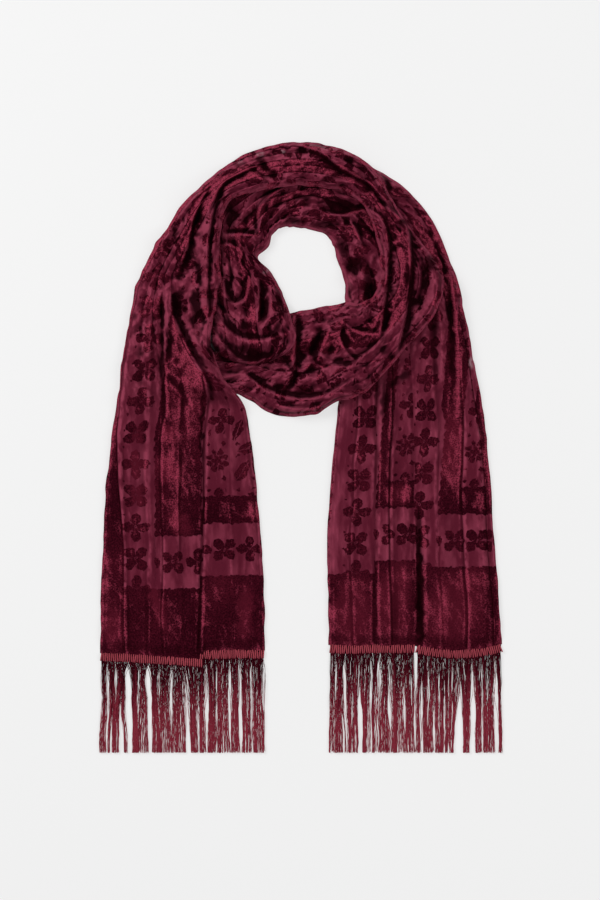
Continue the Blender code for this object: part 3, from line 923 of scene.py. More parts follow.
UPPER_CREASES = tuple(Crease(*row) for row in (
    (((-40, 298), (-58, 290), (-80, 278), (-92, 258), (-100, 240)), 2.6, 2.0, 9.0, 12.0),
    (((-42, 300), (-33, 290), (-22, 281)), -2.6, 4.0, 5.0, 0.0, 8.0),
    (((-60, 292), (-48, 284), (-34, 276)), 2.0, 3.0, 6.0, 0.0, 9.0),
    (
        ((96, 236), (90, 254), (84, 262), (70, 277), (48, 289), (26, 305), (12, 312), (-8, 320)),
        3.0, 2.2, 10.0, 14.0,
    ),
    (((88, 262), (75, 286), (60, 300), (40, 310)), 2.0, 2.0, 7.0, 6.0),
    (((26, 265), (41, 276), (56, 276), (72, 268)), 1.8, 6.0, 2.0, 0.0, 10.0),
    (((64, 250), (82, 240), (90, 214), (89, 176), (86, 150), (81, 106)), 2.6, 2.2, 8.0, 10.0),
    (
        ((76, 256), (98, 243), (110, 230), (113, 205), (113, 180), (110, 150), (105, 122), (97, 92)),
        3.2, 2.4, 10.0, 14.0,
    ),
    (((122, 208), (128, 190), (127, 168), (118, 140)), -2.6, 7.0, 5.0, 0.0, 14.0),
    (((136, 190), (142, 170), (137, 145), (124, 124)), 1.8, 5.0, 9.0, 0.0, 16.0),
    (((-97, 274), (-112, 242), (-119, 212), (-128, 186)), 2.4, 2.0, 9.0, 8.0),
    (((-86, 276), (-96, 228), (-98, 197), (-98, 156), (-96, 130)), 2.8, 2.0, 7.0, 8.0),
    (((-80, 262), (-86, 228), (-86, 190), (-88, 160)), 2.0, 1.8, 5.0, 0.0),
    (((-136, 168), (-136, 146), (-128, 122), (-112, 91), (-100, 70), (-98, 44)), 2.8, 2.2, 10.0, 0.0),
    (((-106, 172), (-99, 140), (-88, 112), (-92, 84)), 2.4, 6.0, 2.0, 0.0),
    (((-144, 168), (-145, 110), (-144, 56), (-142, 20)), -1.8, 2.2, 4.0, 0.0, 20.0),
    (((-127, 60), (-128, 0), (-129, -80), (-127, -160), (-128, -212)), 1.2, 2.2, 6.0, 0.0, 16.0),
    (((-158, 150), (-159, 80), (-160, 0), (-158, -80), (-157, -150)), 0.9, 3.0, 8.0, 0.0, 26.0),
    (((-190, 24), (-188, -30), (-185, -100), (-182, -212)), 1.4, 1.4, 7.0, 0.0, 16.0),
    (((-101, 44), (-101, -20), (-104, -110), (-107, -214)), -1.5, 1.6, 2.6, 0.0, 16.0),
    (((-80, 30), (-76, -40), (-72, -120), (-74, -212)), 0.9, 6.0, 6.0, 0.0, 20.0),
    (((-58, 20), (-53, -60), (-52, -140), (-54, -212)), 0.9, 5.0, 7.0, 0.0, 20.0),
    (((-7, 145), (-7, 98), (-10, 75), (-22, 58)), 2.6, 2.0, 8.0, 10.0),
    (((23, 128), (16, 111), (9, 95)), -3.0, 4.0, 4.5, 0.0, 9.0),
    (((17, 88), (23, 106), (31, 126)), 2.4, 2.0, 7.0, 0.0, 8.0),
    (((44, 132), (40, 116), (48, 98), (60, 88)), 2.0, 1.8, 6.0, 0.0, 10.0),
    (((12, 90), (2, 80), (-6, 83), (-10, 98)), 2.2, 2.0, 5.0, 0.0, 7.0),
    (((-64, 80), (-40, 62), (-18, 53), (8, 50), (34, 58), (60, 74)), 2.2, 2.0, 9.0, 8.0),
    (((-30, 46), (-8, 40), (14, 41), (34, 50)), 1.6, 1.6, 5.0, 0.0),
    (((-50, 108), (-30, 104), (-12, 112)), 1.8, 2.0, 7.0, 0.0, 10.0),
    (((36, 138), (52, 124), (70, 118), (92, 120)), 1.8, 2.0, 7.0, 8.0),
    (((44, 78), (62, 92), (84, 112), (100, 138)), 2.0, 2.0, 8.0, 8.0),
))

# Where the bare ground lies single over the white surface: x, y and half sizes
SHEER_SPOTS = (
    (191.0, 17.0, 4.0, 5.5), (196.0, -5.0, 3.5, 8.0), (200.0, -24.0, 3.0, 5.0), (178.5, 89.0, 2.6, 6.0),
    (190.0, 53.0, 2.2, 4.0), (-41.0, 307.0, 5.5, 2.2), (-64.0, 299.0, 3.5, 1.8), (-37.0, 184.0, 3.0, 3.5),
    (84.0, 290.0, 3.0, 2.0), (12.0, 312.0, 3.0, 1.6), (168.0, 120.0, 2.0, 3.5), (-20.0, 310.0, 3.0, 1.8),
)

# Painted shade in the pockets under folds: x, y, half sizes and turn in degrees
PAINTED_SHADE_POCKETS = (
    (-74.0, 244.0, 5.0, 13.0, 0.0), (-44.0, 301.0, 6.0, 2.5, 20.0), (-59.0, 102.0, 24.0, 4.5, -14.0),
    (-10.0, 237.0, 8.0, 4.5, 0.0), (25.0, 233.0, 13.0, 5.0, -8.0), (44.0, 209.0, 4.5, 15.0, 8.0),
    (-71.0, 155.0, 9.0, 3.5, 0.0), (-94.0, 103.0, 3.5, 15.0, 4.0), (-139.0, 105.0, 3.5, 17.0, -4.0),
    (16.0, 110.0, 2.8, 11.0, -24.0), (42.0, 254.0, 24.0, 6.5, -6.0), (58.0, 191.0, 13.0, 6.5, -10.0),
    (71.0, 167.0, 5.0, 15.0, 4.0), (106.0, 234.0, 6.5, 5.5, 0.0), (134.0, 192.0, 9.0, 8.0, 30.0),
    (114.0, 165.0, 4.0, 27.0, 6.0), (104.0, 73.0, 17.0, 4.0, 34.0), (87.0, 50.0, 5.0, 19.0, 0.0),
    (-25.0, 121.0, 4.0, 12.0, -20.0), (-57.0, 128.0, 7.0, 4.0, 10.0), (2.0, 262.0, 14.0, 4.0, 12.0),
    (6.0, 60.0, 12.0, 3.5, 20.0), (124.0, -75.0, 1.2, 16.0, 0.0), (124.5, -118.0, 2.2, 30.0, 0.0),
    (125.5, -160.0, 4.2, 36.0, 0.0), (125.5, -190.0, 4.4, 22.0, 0.0), (-104.0, 20.0, 2.0, 40.0, -1.0),
)

# Painted sheen highlights where the pile is crushed, laid out in the same way
SHINES = (
    (36.0, 308.0, 8.0, 4.0, -20.0), (60.0, 300.0, 7.0, 4.0, -34.0), (-3.0, 265.0, 17.0, 5.5, 14.0),
    (-62.0, 216.0, 17.0, 3.0, -4.0), (-51.0, 94.0, 19.0, 3.5, 4.0), (28.0, 104.0, 7.0, 9.0, -24.0),
    (-11.0, 120.0, 4.0, 18.0, 14.0), (-108.0, 109.0, 7.0, 23.0, 20.0), (97.0, 113.0, 9.0, 26.0, -10.0),
    (62.0, 210.0, 7.0, 4.0, -30.0), (139.0, 152.0, 8.0, 16.0, 4.0), (-109.0, 252.0, 5.0, 20.0, -32.0),
    (-84.0, 190.0, 3.0, 32.0, 0.0), (158.0, 5.0, 13.0, 42.0, 0.0), (163.0, -168.0, 30.0, 38.0, 0.0),
    (98.0, -163.0, 18.0, 40.0, 0.0), (52.0, -172.0, 22.0, 36.0, 0.0), (-140.0, 15.0, 9.0, 10.0, 20.0),
    (-142.0, -22.0, 12.0, 16.0, 34.0), (-171.0, -20.0, 8.0, 46.0, 0.0), (-127.0, -81.0, 10.0, 17.0, 34.0),
    (-198.0, -190.0, 9.0, 18.0, 0.0), (-58.0, -175.0, 9.0, 28.0, 0.0), (-158.0, 228.0, 5.0, 22.0, -24.0),
    (102.0, -50.0, 14.0, 12.0, 0.0), (-150.0, -165.0, 7.0, 26.0, 14.0), (30.0, 86.0, 12.0, 7.0, 10.0),
)

# The rolled edge of two layers: how far in each point lies, and its height in layers
LAYERED_EDGE = (
    (0.9, 0.12), (0.1, 0.42), (0.4, 0.72), (1.7, 0.92), (3.1, 1.02), (1.9, 1.14),
    (1.1, 1.42), (1.3, 1.70), (2.3, 1.90),
)


def linked(name: str, data: bpy.types.ID) -> bpy.types.Object:
    """A new object in the scene for a mesh, a light or a camera."""
    made = bpy.data.objects.new(name, data)
    bpy.context.scene.collection.objects.link(made)
    return made


def smooth_rows(table: np.ndarray, places: np.ndarray) -> np.ndarray:
    """Rows between the rows of a table, on Catmull-Rom curves.

    Args:
        table: One row of numbers for each station.
        places: The stations wanted, which may lie between two.

    Returns:
        One row for each place.
    """
    last = len(table) - 1
    k = np.clip(places.astype(int), 0, last - 1)
    s = (places - k)[:, None]
    before, here = table[np.maximum(k - 1, 0)], table[k]
    there, after = table[k + 1], table[np.minimum(k + 2, last)]
    slope = (there - before) * s
    bend = (2 * before - 5 * here + 4 * there - after) * s**2
    twist = (3 * here - before - 3 * there + after) * s**3
    return here + (slope + bend + twist) / 2


def lattice_noise(x: np.ndarray, y: np.ndarray | float, seed: int) -> np.ndarray:
    """Smooth random numbers over a plane, about 0 and within -1 to 1.

    Args:
        x: One coordinate, in lattice cells.
        y: The other.
        seed: The lattice's seed.

    Returns:
        The noise at each point.
    """
    table = np.random.RandomState(seed).uniform(-1.0, 1.0, (64, 64))
    i, j = np.floor(x).astype(int), np.floor(y).astype(int)
    s, t = x - i, y - j
    s, t = s * s * (3 - 2 * s), t * t * (3 - 2 * t)
    near = table[i % 64, j % 64] * (1 - s) + table[(i + 1) % 64, j % 64] * s
    far = table[i % 64, (j + 1) % 64] * (1 - s) + table[(i + 1) % 64, (j + 1) % 64] * s
    return near * (1 - t) + far * t


def ridges(x: np.ndarray, y: np.ndarray, seed: int) -> np.ndarray:
    """The same noise folded over, so that its crests are sharp lines."""
    return 1.0 - 2.0 * np.abs(lattice_noise(x, y, seed))


def fade_in(x: np.ndarray, length: float) -> np.ndarray:
    """Rises smoothly from 0 to 1 over a length."""
    s = np.clip(x / max(length, 1e-6), 0.0, 1.0)
    return s * s * (3 - 2 * s)


def covered_by(spots: tuple, x: np.ndarray, y: np.ndarray) -> np.ndarray:
    """How far each point lies in a set of soft oval spots.

    Args:
        spots: Each spot's x, y, half sizes and, where it is turned, its turn in degrees.
        x: The points' places, in millimetres.
        y: The same, the other way.

    Returns:
        1 in the middle of a spot, 0 away from all of them.
    """
    found = np.zeros(x.shape)
    for spot_x, spot_y, half_x, half_y, *turn in spots:
        angle = math.radians(turn[0] if turn else 0.0)
        along = (x - spot_x) * math.cos(angle) + (y - spot_y) * math.sin(angle)
        aside = (y - spot_y) * math.cos(angle) - (x - spot_x) * math.sin(angle)
        spread = (along / half_x) ** 2 + (aside / half_y) ** 2
        found = np.maximum(found, np.exp(-(spread**2)))
    return found


def lay_crease(crease: Crease, x: np.ndarray, y: np.ndarray) -> tuple[np.ndarray, ...]:
    """How a crease lifts the cloth, hides some of it and takes painted light and shade.

    Args:
        crease: The crease.
        x: The points' places, in millimetres.
        y: The same, the other way.

    Returns:
        The rise at each point, the slip there, the painted highlight by how near it is to the fold's edge,
        and the painted shade by how far it lies in the fold's shadow.
    """
    line = np.array(crease.line, float)
    count = 6 * (len(line) - 1) + 1
    line = smooth_rows(line, np.linspace(0, len(line) - 1, count))
    steps = np.diff(line, axis=0)
    lengths = np.hypot(steps[:, 0], steps[:, 1])
    starts = np.concatenate([[0.0], np.cumsum(lengths)])
    best = np.full(x.shape, 1e9)
    signed = np.zeros(x.shape)
    place = np.zeros(x.shape)
    for k in range(len(steps)):
        dx, dy = x - line[k, 0], y - line[k, 1]
        ux, uy = steps[k] / lengths[k]
        ahead = np.clip(dx * ux + dy * uy, 0.0, lengths[k])
        gap = np.hypot(dx - ahead * ux, dy - ahead * uy)
        nearer = gap < best
        best = np.where(nearer, gap, best)
        signed = np.where(nearer, gap * np.where(ux * dy - uy * dx >= 0, 1.0, -1.0), signed)
        place = np.where(nearer, starts[k] + ahead, place)
    ends = fade_in(place, crease.fade) * fade_in(starts[-1] - place, crease.fade)
    width = np.where(signed > 0, crease.steep, crease.gentle)
    rise = crease.rise * np.exp(-((best / width) ** 2)) * ends
    if crease.rise > 0:
        beyond = signed - 2.6 * crease.steep
        rise -= 0.30 * crease.rise * np.exp(-((beyond / (1.6 * crease.steep)) ** 2)) * ends
    slip = crease.slip * ends * (0.5 + 0.5 * np.tanh(signed / 0.9)) * (1 - fade_in(best - 18.0, 26.0))
    # Painted light: a highlight along the fold's edge, and painted shade beside its steep side, or down a
    # tuck's middle
    weight = min(abs(crease.rise) / 2.6, 1.0) * ends
    painted_rim_highlight = weight * np.exp(-(((signed + 0.2) / 1.0) ** 2))
    shadow = weight * np.exp(-(((signed - 1.5 * crease.steep) / (0.85 * crease.steep)) ** 2))
    if crease.rise < 0:
        painted_rim_highlight = 0.6 * weight * np.exp(-(((signed + 1.5 * crease.gentle) / 1.0) ** 2))
        shadow = weight * np.exp(-((best / (0.62 * width)) ** 2))
    return rise, slip, painted_rim_highlight, shadow


@dataclass
class HeightBed:
    """The heights of what a stretch is laid on, on a lattice in millimetres."""

    spacing: float = 3.0
    reach: float = 7.0
    slope: float = 1.05
    farthest: float = 45.0
    clearance: float = 0.5
    low: tuple[float, float] = (-290.0, -260.0)
    shape: tuple[int, int] = (200, 210)
    heights: np.ndarray = field(init=False)

    def __post_init__(self) -> None:
        """Starts with a bare table."""
        self.heights = np.zeros(self.shape)

    def add(self, x: np.ndarray, y: np.ndarray, z: np.ndarray) -> None:
        """Lays a stretch's points in.

        Args:
            x: Their places, in millimetres.
            y: The same, the other way.
            z: Their heights.
        """
        i = np.clip(((x - self.low[0]) / self.spacing).round().astype(int), 0, self.shape[0] - 1)
        j = np.clip(((y - self.low[1]) / self.spacing).round().astype(int), 0, self.shape[1] - 1)
        np.maximum.at(self.heights, (i.ravel(), j.ravel()), z.ravel())

    def draped(self) -> np.ndarray:
        """The height that cloth laid over the bed rests at, with its slopes at the sides.

        Returns:
            The heights on the bed's lattice.
        """
        span = int(self.farthest / self.spacing)
        covered = np.where(self.heights > 0.5, self.heights + self.clearance, 0.0)
        padded = np.pad(covered, span)
        out = np.zeros(self.shape)
        for i in range(-span, span + 1):
            for j in range(-span, span + 1):
                distance = math.hypot(i, j) * self.spacing
                if distance > self.farthest:
                    continue
                drop = self.slope * max(distance - self.reach, 0.0)
                window = padded[span + i:span + i + self.shape[0], span + j:span + j + self.shape[1]]
                out = np.maximum(out, window - drop)
        for _ in range(3):
            wide = np.pad(out, 1, mode="edge")
            out = (wide[:-2, 1:-1] + wide[2:, 1:-1] + wide[1:-1, :-2] + wide[1:-1, 2:] + 2 * out) / 6
        return out

    def at(self, heights: np.ndarray, x: np.ndarray, y: np.ndarray) -> np.ndarray:
        """Reads a lattice of heights between its points.

        Args:
            heights: The lattice.
            x: Places, in millimetres.
            y: The same, the other way.

        Returns:
            The height at each place.
        """
        fx = np.clip((x - self.low[0]) / self.spacing, 0, self.shape[0] - 1.001)
        fy = np.clip((y - self.low[1]) / self.spacing, 0, self.shape[1] - 1.001)
        i, j = fx.astype(int), fy.astype(int)
        s, t = fx - i, fy - j
        near = heights[i, j] * (1 - s) + heights[i + 1, j] * s
        far = heights[i, j + 1] * (1 - s) + heights[i + 1, j + 1] * s
        return near * (1 - t) + far * t


class Held(Enum):
    """How a stretch's cloth is held together."""

    FOLDED = "folded"
    GATHERED = "gathered"


class Turn(Enum):
    """How a stretch ends."""

    JOINED = "joined"
    HEMMED = "hemmed"
    TURNED_UNDER = "turned_under"


@dataclass
class ClothRun:
    """One run of gathered cloth, from which stretches are cut."""

    stations: tuple[tuple[float, ...], ...]
    rolls: Rolls
    creases: tuple[Crease, ...]
    braids: tuple[BraidLine, ...]
    hem_last: bool
    seed: int
    columns: int = 126
    underside: int = 12
    full_height: float = 30.0
    squash: float = 0.62
    settling: float = 0.75
    turn_length: float = 9.0
    hem_reach: float = 34.0
    hem_press: float = 0.36
    hem_slope: float = 13.0
    hem_overlap: float = 2.0
    hem_tuck: float = 0.5
    table: np.ndarray = field(init=False)
    arc_places: np.ndarray = field(init=False)
    arc_lengths: np.ndarray = field(init=False)

    def __post_init__(self) -> None:
        """Measures the run along its middle."""
        self.table = np.array(self.stations, float)
        self.arc_places = np.linspace(0, len(self.table) - 1, 60 * len(self.table))
        rows = smooth_rows(self.table, self.arc_places)
        middle = (rows[:, 0:2] + rows[:, 2:4]) / 2
        steps = np.hypot(*np.diff(middle, axis=0).T)
        self.arc_lengths = np.concatenate([[0.0], np.cumsum(steps)])

    def places(self, start: float, end: float, spacing: float) -> np.ndarray:
        """Stations at even steps along the middle of the run.

        Args:
            start: The first station.
            end: The last.
            spacing: The step, in millimetres.

        Returns:
            The stations.
        """
        low, high = np.interp([start, end], self.arc_places, self.arc_lengths)
        count = max(int(round((high - low) / spacing)), 4)
        return np.interp(np.linspace(low, high, count + 1), self.arc_lengths, self.arc_places)

    def keyed(self, table: tuple, places: np.ndarray) -> np.ndarray:
        """Reads rows of key numbers at stations.

        Args:
            table: One row of numbers at the keys for each roll or valley.
            places: The stations.

        Returns:
            An array with a row for each station and a column for each roll or valley.
        """
        return np.array([np.interp(places, self.rolls.keys, row) for row in table]).T

    def outline(self, places: np.ndarray) -> dict[str, np.ndarray]:
        """The edges and the middle of the run at stations.

        Args:
            places: The stations.

        Returns:
            The left edge, the way across, the way ahead, the width, the lead and the thickness.
        """
        rows = smooth_rows(self.table, places)
        left, right = rows[:, 0:2], rows[:, 2:4]
        across = right - left
        width = np.hypot(across[:, 0], across[:, 1])
        across = across / width[:, None]
        ahead = np.stack([-across[:, 1], across[:, 0]], axis=1)
        return {
            "left": left, "across": across, "ahead": ahead, "width": width,
            "lead": rows[:, 4], "thick": rows[:, 5],
        }

    def roll_lengths(self, places: np.ndarray) -> np.ndarray:
        """How far each roll's middle has come from the run's hem, in millimetres.

        Args:
            places: The stations.

        Returns:
            An array with a row for each station and a column for each roll.
        """
        dense = self.outline(self.arc_places)
        edges = self.keyed(self.rolls.edges, self.arc_places)
        full = np.hstack([np.zeros((len(edges), 1)), edges, np.ones((len(edges), 1))])
        out = []
        for middle in ((full[:, 1:] + full[:, :-1]) / 2).T:
            inward = (middle * dense["width"])[:, None]
            points = dense["left"] + dense["across"] * inward
            steps = np.hypot(*np.diff(points, axis=0).T)
            total = np.concatenate([[0.0], np.cumsum(steps)])
            if self.hem_last:
                total = total[-1] - total
            out.append(np.interp(places, self.arc_places, total))
        return np.array(out).T

    def valleys(self, places: np.ndarray) -> np.ndarray:
        """The places across of the rolls' valleys, which wander a little, and of both edges.

        Args:
            places: The stations.

        Returns:
            An array with a row for each station, from 0 to 1.
        """
        edges = self.keyed(self.rolls.edges, places)
        arc = np.interp(places, self.arc_places, self.arc_lengths)
        for k in range(edges.shape[1]):
            edges[:, k] += 0.012 * lattice_noise(arc / 38.0, 3.7 * k, self.seed + k)
        return np.hstack([np.zeros((len(edges), 1)), edges, np.ones((len(edges), 1))])

    def columns_across(self, places: np.ndarray, width: np.ndarray) -> np.ndarray:
        """The top's columns, one of which follows each valley.

        Args:
            places: The stations.
            width: The run's width at each, in millimetres.

        Returns:
            Each column's place inwards of the left edge, with a row for each station.
        """
        full = self.valleys(places) * width
        full[:, :1] = EDGE_INSET
        full[:, -1:] = width - EDGE_INSET
        shares = self.valleys(self.arc_places).mean(axis=0)
        marks = np.round(shares * (self.columns - 1)).astype(int)
        inward = np.zeros((len(full), self.columns))
        for k in range(len(marks) - 1):
            s = np.linspace(0.0, 1.0, marks[k + 1] - marks[k] + 1)[None, :]
            inward[:, marks[k]:marks[k + 1] + 1] = full[:, k:k + 1] * (1 - s) + full[:, k + 1:k + 2] * s
        return inward

    def rolled(self, places: np.ndarray, share: np.ndarray, inward: np.ndarray) -> dict[str, np.ndarray]:
        """The rolls' heights and the cloth's own coordinates across a grid.

        Args:
            places: The stations, one for each row.
            share: Each point's place across, from 0 to 1.
            inward: The same in millimetres.

        Returns:
            The height over the body, and the cloth's u and v in millimetres.
        """
        rolls = self.rolls
        full = self.valleys(places)
        count = full.shape[1] - 1
        share = share + 1e-5
        arc = np.interp(places, self.arc_places, self.arc_lengths)
        rises, lifts = self.keyed(rolls.rises, places), self.keyed(rolls.lifts, places)
        slips = self.keyed(rolls.slips, places)
        flat = np.interp(places, rolls.keys, rolls.flats)[:, None]
        lengths = self.roll_lengths(places)
        height = np.zeros(share.shape)
        u = np.interp(places, rolls.keys, rolls.first)[:, None] + rolls.ahead * inward
        v = np.zeros(share.shape)
        for k in range(count):
            low, high = full[:, k:k + 1], full[:, k + 1:k + 2]
            inside = (share >= low) & (share <= high) if k == count - 1 else (share >= low) & (share < high)
            tau = np.clip((share - low) / np.maximum(high - low, 1e-6), 0.0, 1.0)
            skewed = tau ** (2.0 ** (2.2 * rolls.skews[k]))
            profile = 1.0 - np.abs(2 * skewed - 1) ** flat
            swell = 1 + 0.22 * lattice_noise(arc / 30.0, 5.1 * k + 2, self.seed)
            crest = rises[:, k:k + 1] * swell[:, None]
            calm = 1.0 - 0.45 * np.clip((5.0 - flat) / 2.2, 0.0, 1.0)
            height = np.where(inside, calm * crest * profile + lifts[:, k:k + 1], height)
            v = np.where(inside, lengths[:, k:k + 1] + rolls.starts[k], v)
            if k < count - 1:
                u = u + np.where(share >= high, slips[:, k:k + 1], 0.0)
        return {"height": height, "u": u, "v": v}

    def crumple(self, u: np.ndarray, arc: np.ndarray, gathered: np.ndarray) -> np.ndarray:
        """The small uneven ridges of soft cloth.

        Args:
            u: Places across, in millimetres.
            arc: Places along.
            gathered: 1 in the ring, 0 on the flat tails.

        Returns:
            The height at each point.
        """
        bend = 6.0 * lattice_noise(arc / 45.0, u / 50.0, self.seed + 11)
        warp = gathered * 13.0 * lattice_noise(arc / 58.0, u / 36.0, self.seed + 17)
        warp_too = gathered * 9.0 * lattice_noise(arc / 33.0 + 5.0, u / 21.0, self.seed + 18)
        wide = ridges((u + bend + warp) / 13.0, arc / 52.0, self.seed + 12)
        fine = ridges((u + bend + warp_too) / 6.0, arc / 24.0, self.seed + 13)
        grain = lattice_noise(u / 2.6, arc / 5.0, self.seed + 14)
        swell_place = (u + 0.12 * arc + warp + bend) / 27.0, (arc - 0.3 * u + 2 * warp_too) / 52.0
        swell = 2.0 * np.abs(lattice_noise(*swell_place, self.seed + 19)) - 0.6
        cross = ridges((u + arc * 0.5 + warp) / 17.0, (arc - u * 0.5 + 2 * bend) / 25.0, self.seed + 15)
        pinch = ridges((u - arc * 0.7 + warp_too) / 11.0, (arc + u * 0.7) / 15.0, self.seed + 16)
        place = (u + arc * 0.8 + 0.6 * warp) / 5.6, (arc - u * 0.8 + 0.6 * warp_too) / 7.0
        crinkle = ridges(*place, self.seed + 24)
        soft = 0.36 * wide + (0.22 + 0.16 * gathered) * fine + (0.10 + 0.12 * gathered) * grain
        return soft + gathered * (3.3 * swell + 1.6 * cross + 0.95 * pinch + 0.55 * crinkle)

    def hem(self, x: np.ndarray) -> np.ndarray:
        """How far down the tail reaches, which is a little way under its braids.

        Args:
            x: Places across.

        Returns:
            The end's y at each place.
        """
        tops = np.full(x.shape, np.inf)
        for braid in self.braids:
            here = (x >= braid.start_x - self.hem_overlap) & (x <= braid.end_x + self.hem_overlap)
            tops = np.minimum(tops, np.where(here, braid.top(x), np.inf))
        return np.where(np.isfinite(tops), tops, self.braids[0].top(x)) - self.hem_tuck

    def surface(self, start: float, end: float, spacing: float, bed: np.ndarray | None,
                beds: HeightBed, turn: Turn) -> dict[str, np.ndarray]:
        """The closed cross-sections of a stretch.

        Args:
            start: Its first station.
            end: Its last.
            spacing: From one cross-section to the next, in millimetres.
            bed: The heights that it lies on, or None for the table.
            beds: The lattice that they are on.
            turn: How the stretch ends that isn't joined to the next.

        Returns:
            The points' x, y and z in millimetres, their u and v, the top's first and last column,
            its relief, its folds' painted edge highlights and painted shadows, and where the cloth is
            gathered.
        """
        places = self.places(start, end, spacing)
        plan = self.outline(places)
        arc = np.interp(places, self.arc_places, self.arc_lengths)[:, None]
        width = plan["width"][:, None]
        edge = np.array(LAYERED_EDGE)
        n_edge = len(edge)
        top_in = self.columns_across(places, width)
        wobble = 0.9 * lattice_noise(arc / 17.0, np.arange(n_edge)[None, :] * 0.45, self.seed + 20)
        wobble_too = 0.9 * lattice_noise(arc / 17.0, np.arange(n_edge)[None, :] * 0.45 + 9, self.seed + 21)
        left_in = edge[None, :, 0] + np.maximum(wobble, -0.4)
        right_in = width - (edge[None, ::-1, 0] + np.maximum(wobble_too, -0.4))
        under_in = width - 2.5 - (width - 5.0) * np.linspace(0.0, 1.0, self.underside)[None, :]
        flats = np.interp(places, self.rolls.keys, self.rolls.flats)[:, None]
        gathered = np.clip((5.0 - flats) / 2.2, 0.0, 1.0)
        inward = np.hstack([left_in, top_in, right_in, under_in])
        rolled = self.rolled(places, np.clip(inward / width, 0, 1), inward)
        inward = inward + self.edge_wave(arc, 0.5, gathered) * (1 - fade_in(inward, 24.0))
        inward = inward - self.edge_wave(arc, 5.5, gathered) * (1 - fade_in(width - inward, 24.0))
        c = inward / width
        ahead = plan["lead"][:, None] * 4 * c * (1 - c)
        x = plan["left"][:, 0:1] + plan["across"][:, 0:1] * inward + plan["ahead"][:, 0:1] * ahead
        y = plan["left"][:, 1:2] + plan["across"][:, 1:2] * inward + plan["ahead"][:, 1:2] * ahead
        floor = np.zeros(x.shape) if bed is None else beds.at(bed, x, y)
        nearer = np.minimum(top_in, width - top_in)
        roll = np.sqrt(1 - (1 - np.clip(nearer / EDGE_ROLL, 0, 1)) ** 2)
        thick = np.maximum(plan["thick"][:, None], 2 * LAYER)
        body = 2 * LAYER + (thick - 2 * LAYER) * roll
        top = slice(n_edge, n_edge + self.columns)
        rise = rolled["height"][:, top].copy()
        slip = np.zeros(x.shape)
        # Painted highlights along the creases' edges and painted shade in their shadows
        painted_rim_highlight, shadow = np.zeros(rise.shape), np.zeros(rise.shape)
        for crease in self.creases:
            lift, hidden, crease_highlight, dark = lay_crease(crease, x[:, top], y[:, top])
            rise += lift * (1 + 1.3 * gathered)
            slip[:, top] += hidden
            painted_rim_highlight = np.maximum(painted_rim_highlight, crease_highlight * (0.45 + 0.55 * gathered))
            shadow = np.maximum(shadow, dark * (np.where(crease.rise < -4, 1.0, 0.3 + 0.5 * gathered)))
        last = n_edge + self.columns
        slip[:, last:] = slip[:, last - 1:last]
        u = rolled["u"] + self.rolls.ahead * slip
        turned = self.edge_path() * self.rolls.ahead
        u[:, :n_edge] = u[:, n_edge:n_edge + 1] - turned
        u[:, last:last + n_edge] = u[:, last - 1:last] + turned[:, ::-1]
        rise += self.crumple(top_in, arc, gathered)
        rise *= fade_in(nearer - 1.0, 6.0) * 0.85 + 0.15
        left_heights = np.broadcast_to(edge[None, :, 1] * LAYER, left_in.shape)
        right_heights = np.broadcast_to(edge[None, ::-1, 1] * LAYER, right_in.shape)
        z = np.hstack([left_heights, np.maximum(body + rise, 1.8), right_heights, np.zeros(under_in.shape)])
        if turn is Turn.HEMMED:
            z, y = self.pressed_hem(x, y, z, arc)
        crowded = np.maximum(floor + z - self.full_height, 0.0)
        z = np.where(floor > 1.0, np.maximum(z - self.squash * crowded, np.minimum(z, 2.4)), z)
        if turn is Turn.TURNED_UNDER:
            away = arc - arc[0] if self.hem_last else arc[-1] - arc
            z = z * np.sqrt(np.clip(away / self.turn_length, 0.03, 1.0))
        settled = np.sin(math.pi * np.linspace(0.0, 1.0, self.underside))
        floor[:, -self.underside:] *= 1.0 - self.settling * settled[None, :]
        return {
            "x": x, "y": y, "z": z + floor, "u": u, "v": rolled["v"], "top": (n_edge, last),
            "relief": rise, "painted_rim_highlight": painted_rim_highlight, "shadow": shadow, "gathered": gathered,
        }

    def edge_path(self) -> np.ndarray:
        """How far the cloth has run over the rolled edge, from the top down to each of its points."""
        points = np.array(LAYERED_EDGE + ((EDGE_INSET, 2.0),)) * (1.0, LAYER)
        steps = np.hypot(*np.diff(points, axis=0).T)
        return np.cumsum(steps[::-1])[::-1][None, :]

    def edge_wave(self, arc: np.ndarray, side: float, gathered: np.ndarray) -> np.ndarray:
        """How far one edge of the cloth wanders in from its plan, in millimetres.

        Args:
            arc: How far along the run each row is.
            side: A number for each edge, which sets its chances apart.
            gathered: 1 in the ring, 0 on the flat tails.

        Returns:
            The distance for each row.
        """
        slow = lattice_noise(arc / 19.0, side, self.seed + 22)
        quick = lattice_noise(arc / 7.5, side + 3.0, self.seed + 23)
        return (0.5 + 1.3 * gathered) * slow + (0.25 + 0.75 * gathered) * quick

    def pressed_hem(self, x: np.ndarray, y: np.ndarray, z: np.ndarray,
                    arc: np.ndarray) -> tuple[np.ndarray, np.ndarray]:
        """Brings a tail's end to its braids, and presses it flat there.

        Args:
            x: The points' places.
            y: The same, the other way.
            z: Their heights.
            arc: How far along the run each row is.

        Returns:
            The new heights and the new y.
        """
        away = (arc[-1] - arc) if self.hem_last else (arc - arc[0])
        row = -1 if self.hem_last else 0
        shift = self.hem(x[row]) - y[row]
        y = y + shift[None, :] * (1 - fade_in(away, self.hem_reach))
        press = self.hem_press + (1 - self.hem_press) * fade_in(away - 0.5, self.hem_slope)
        return z * press, y


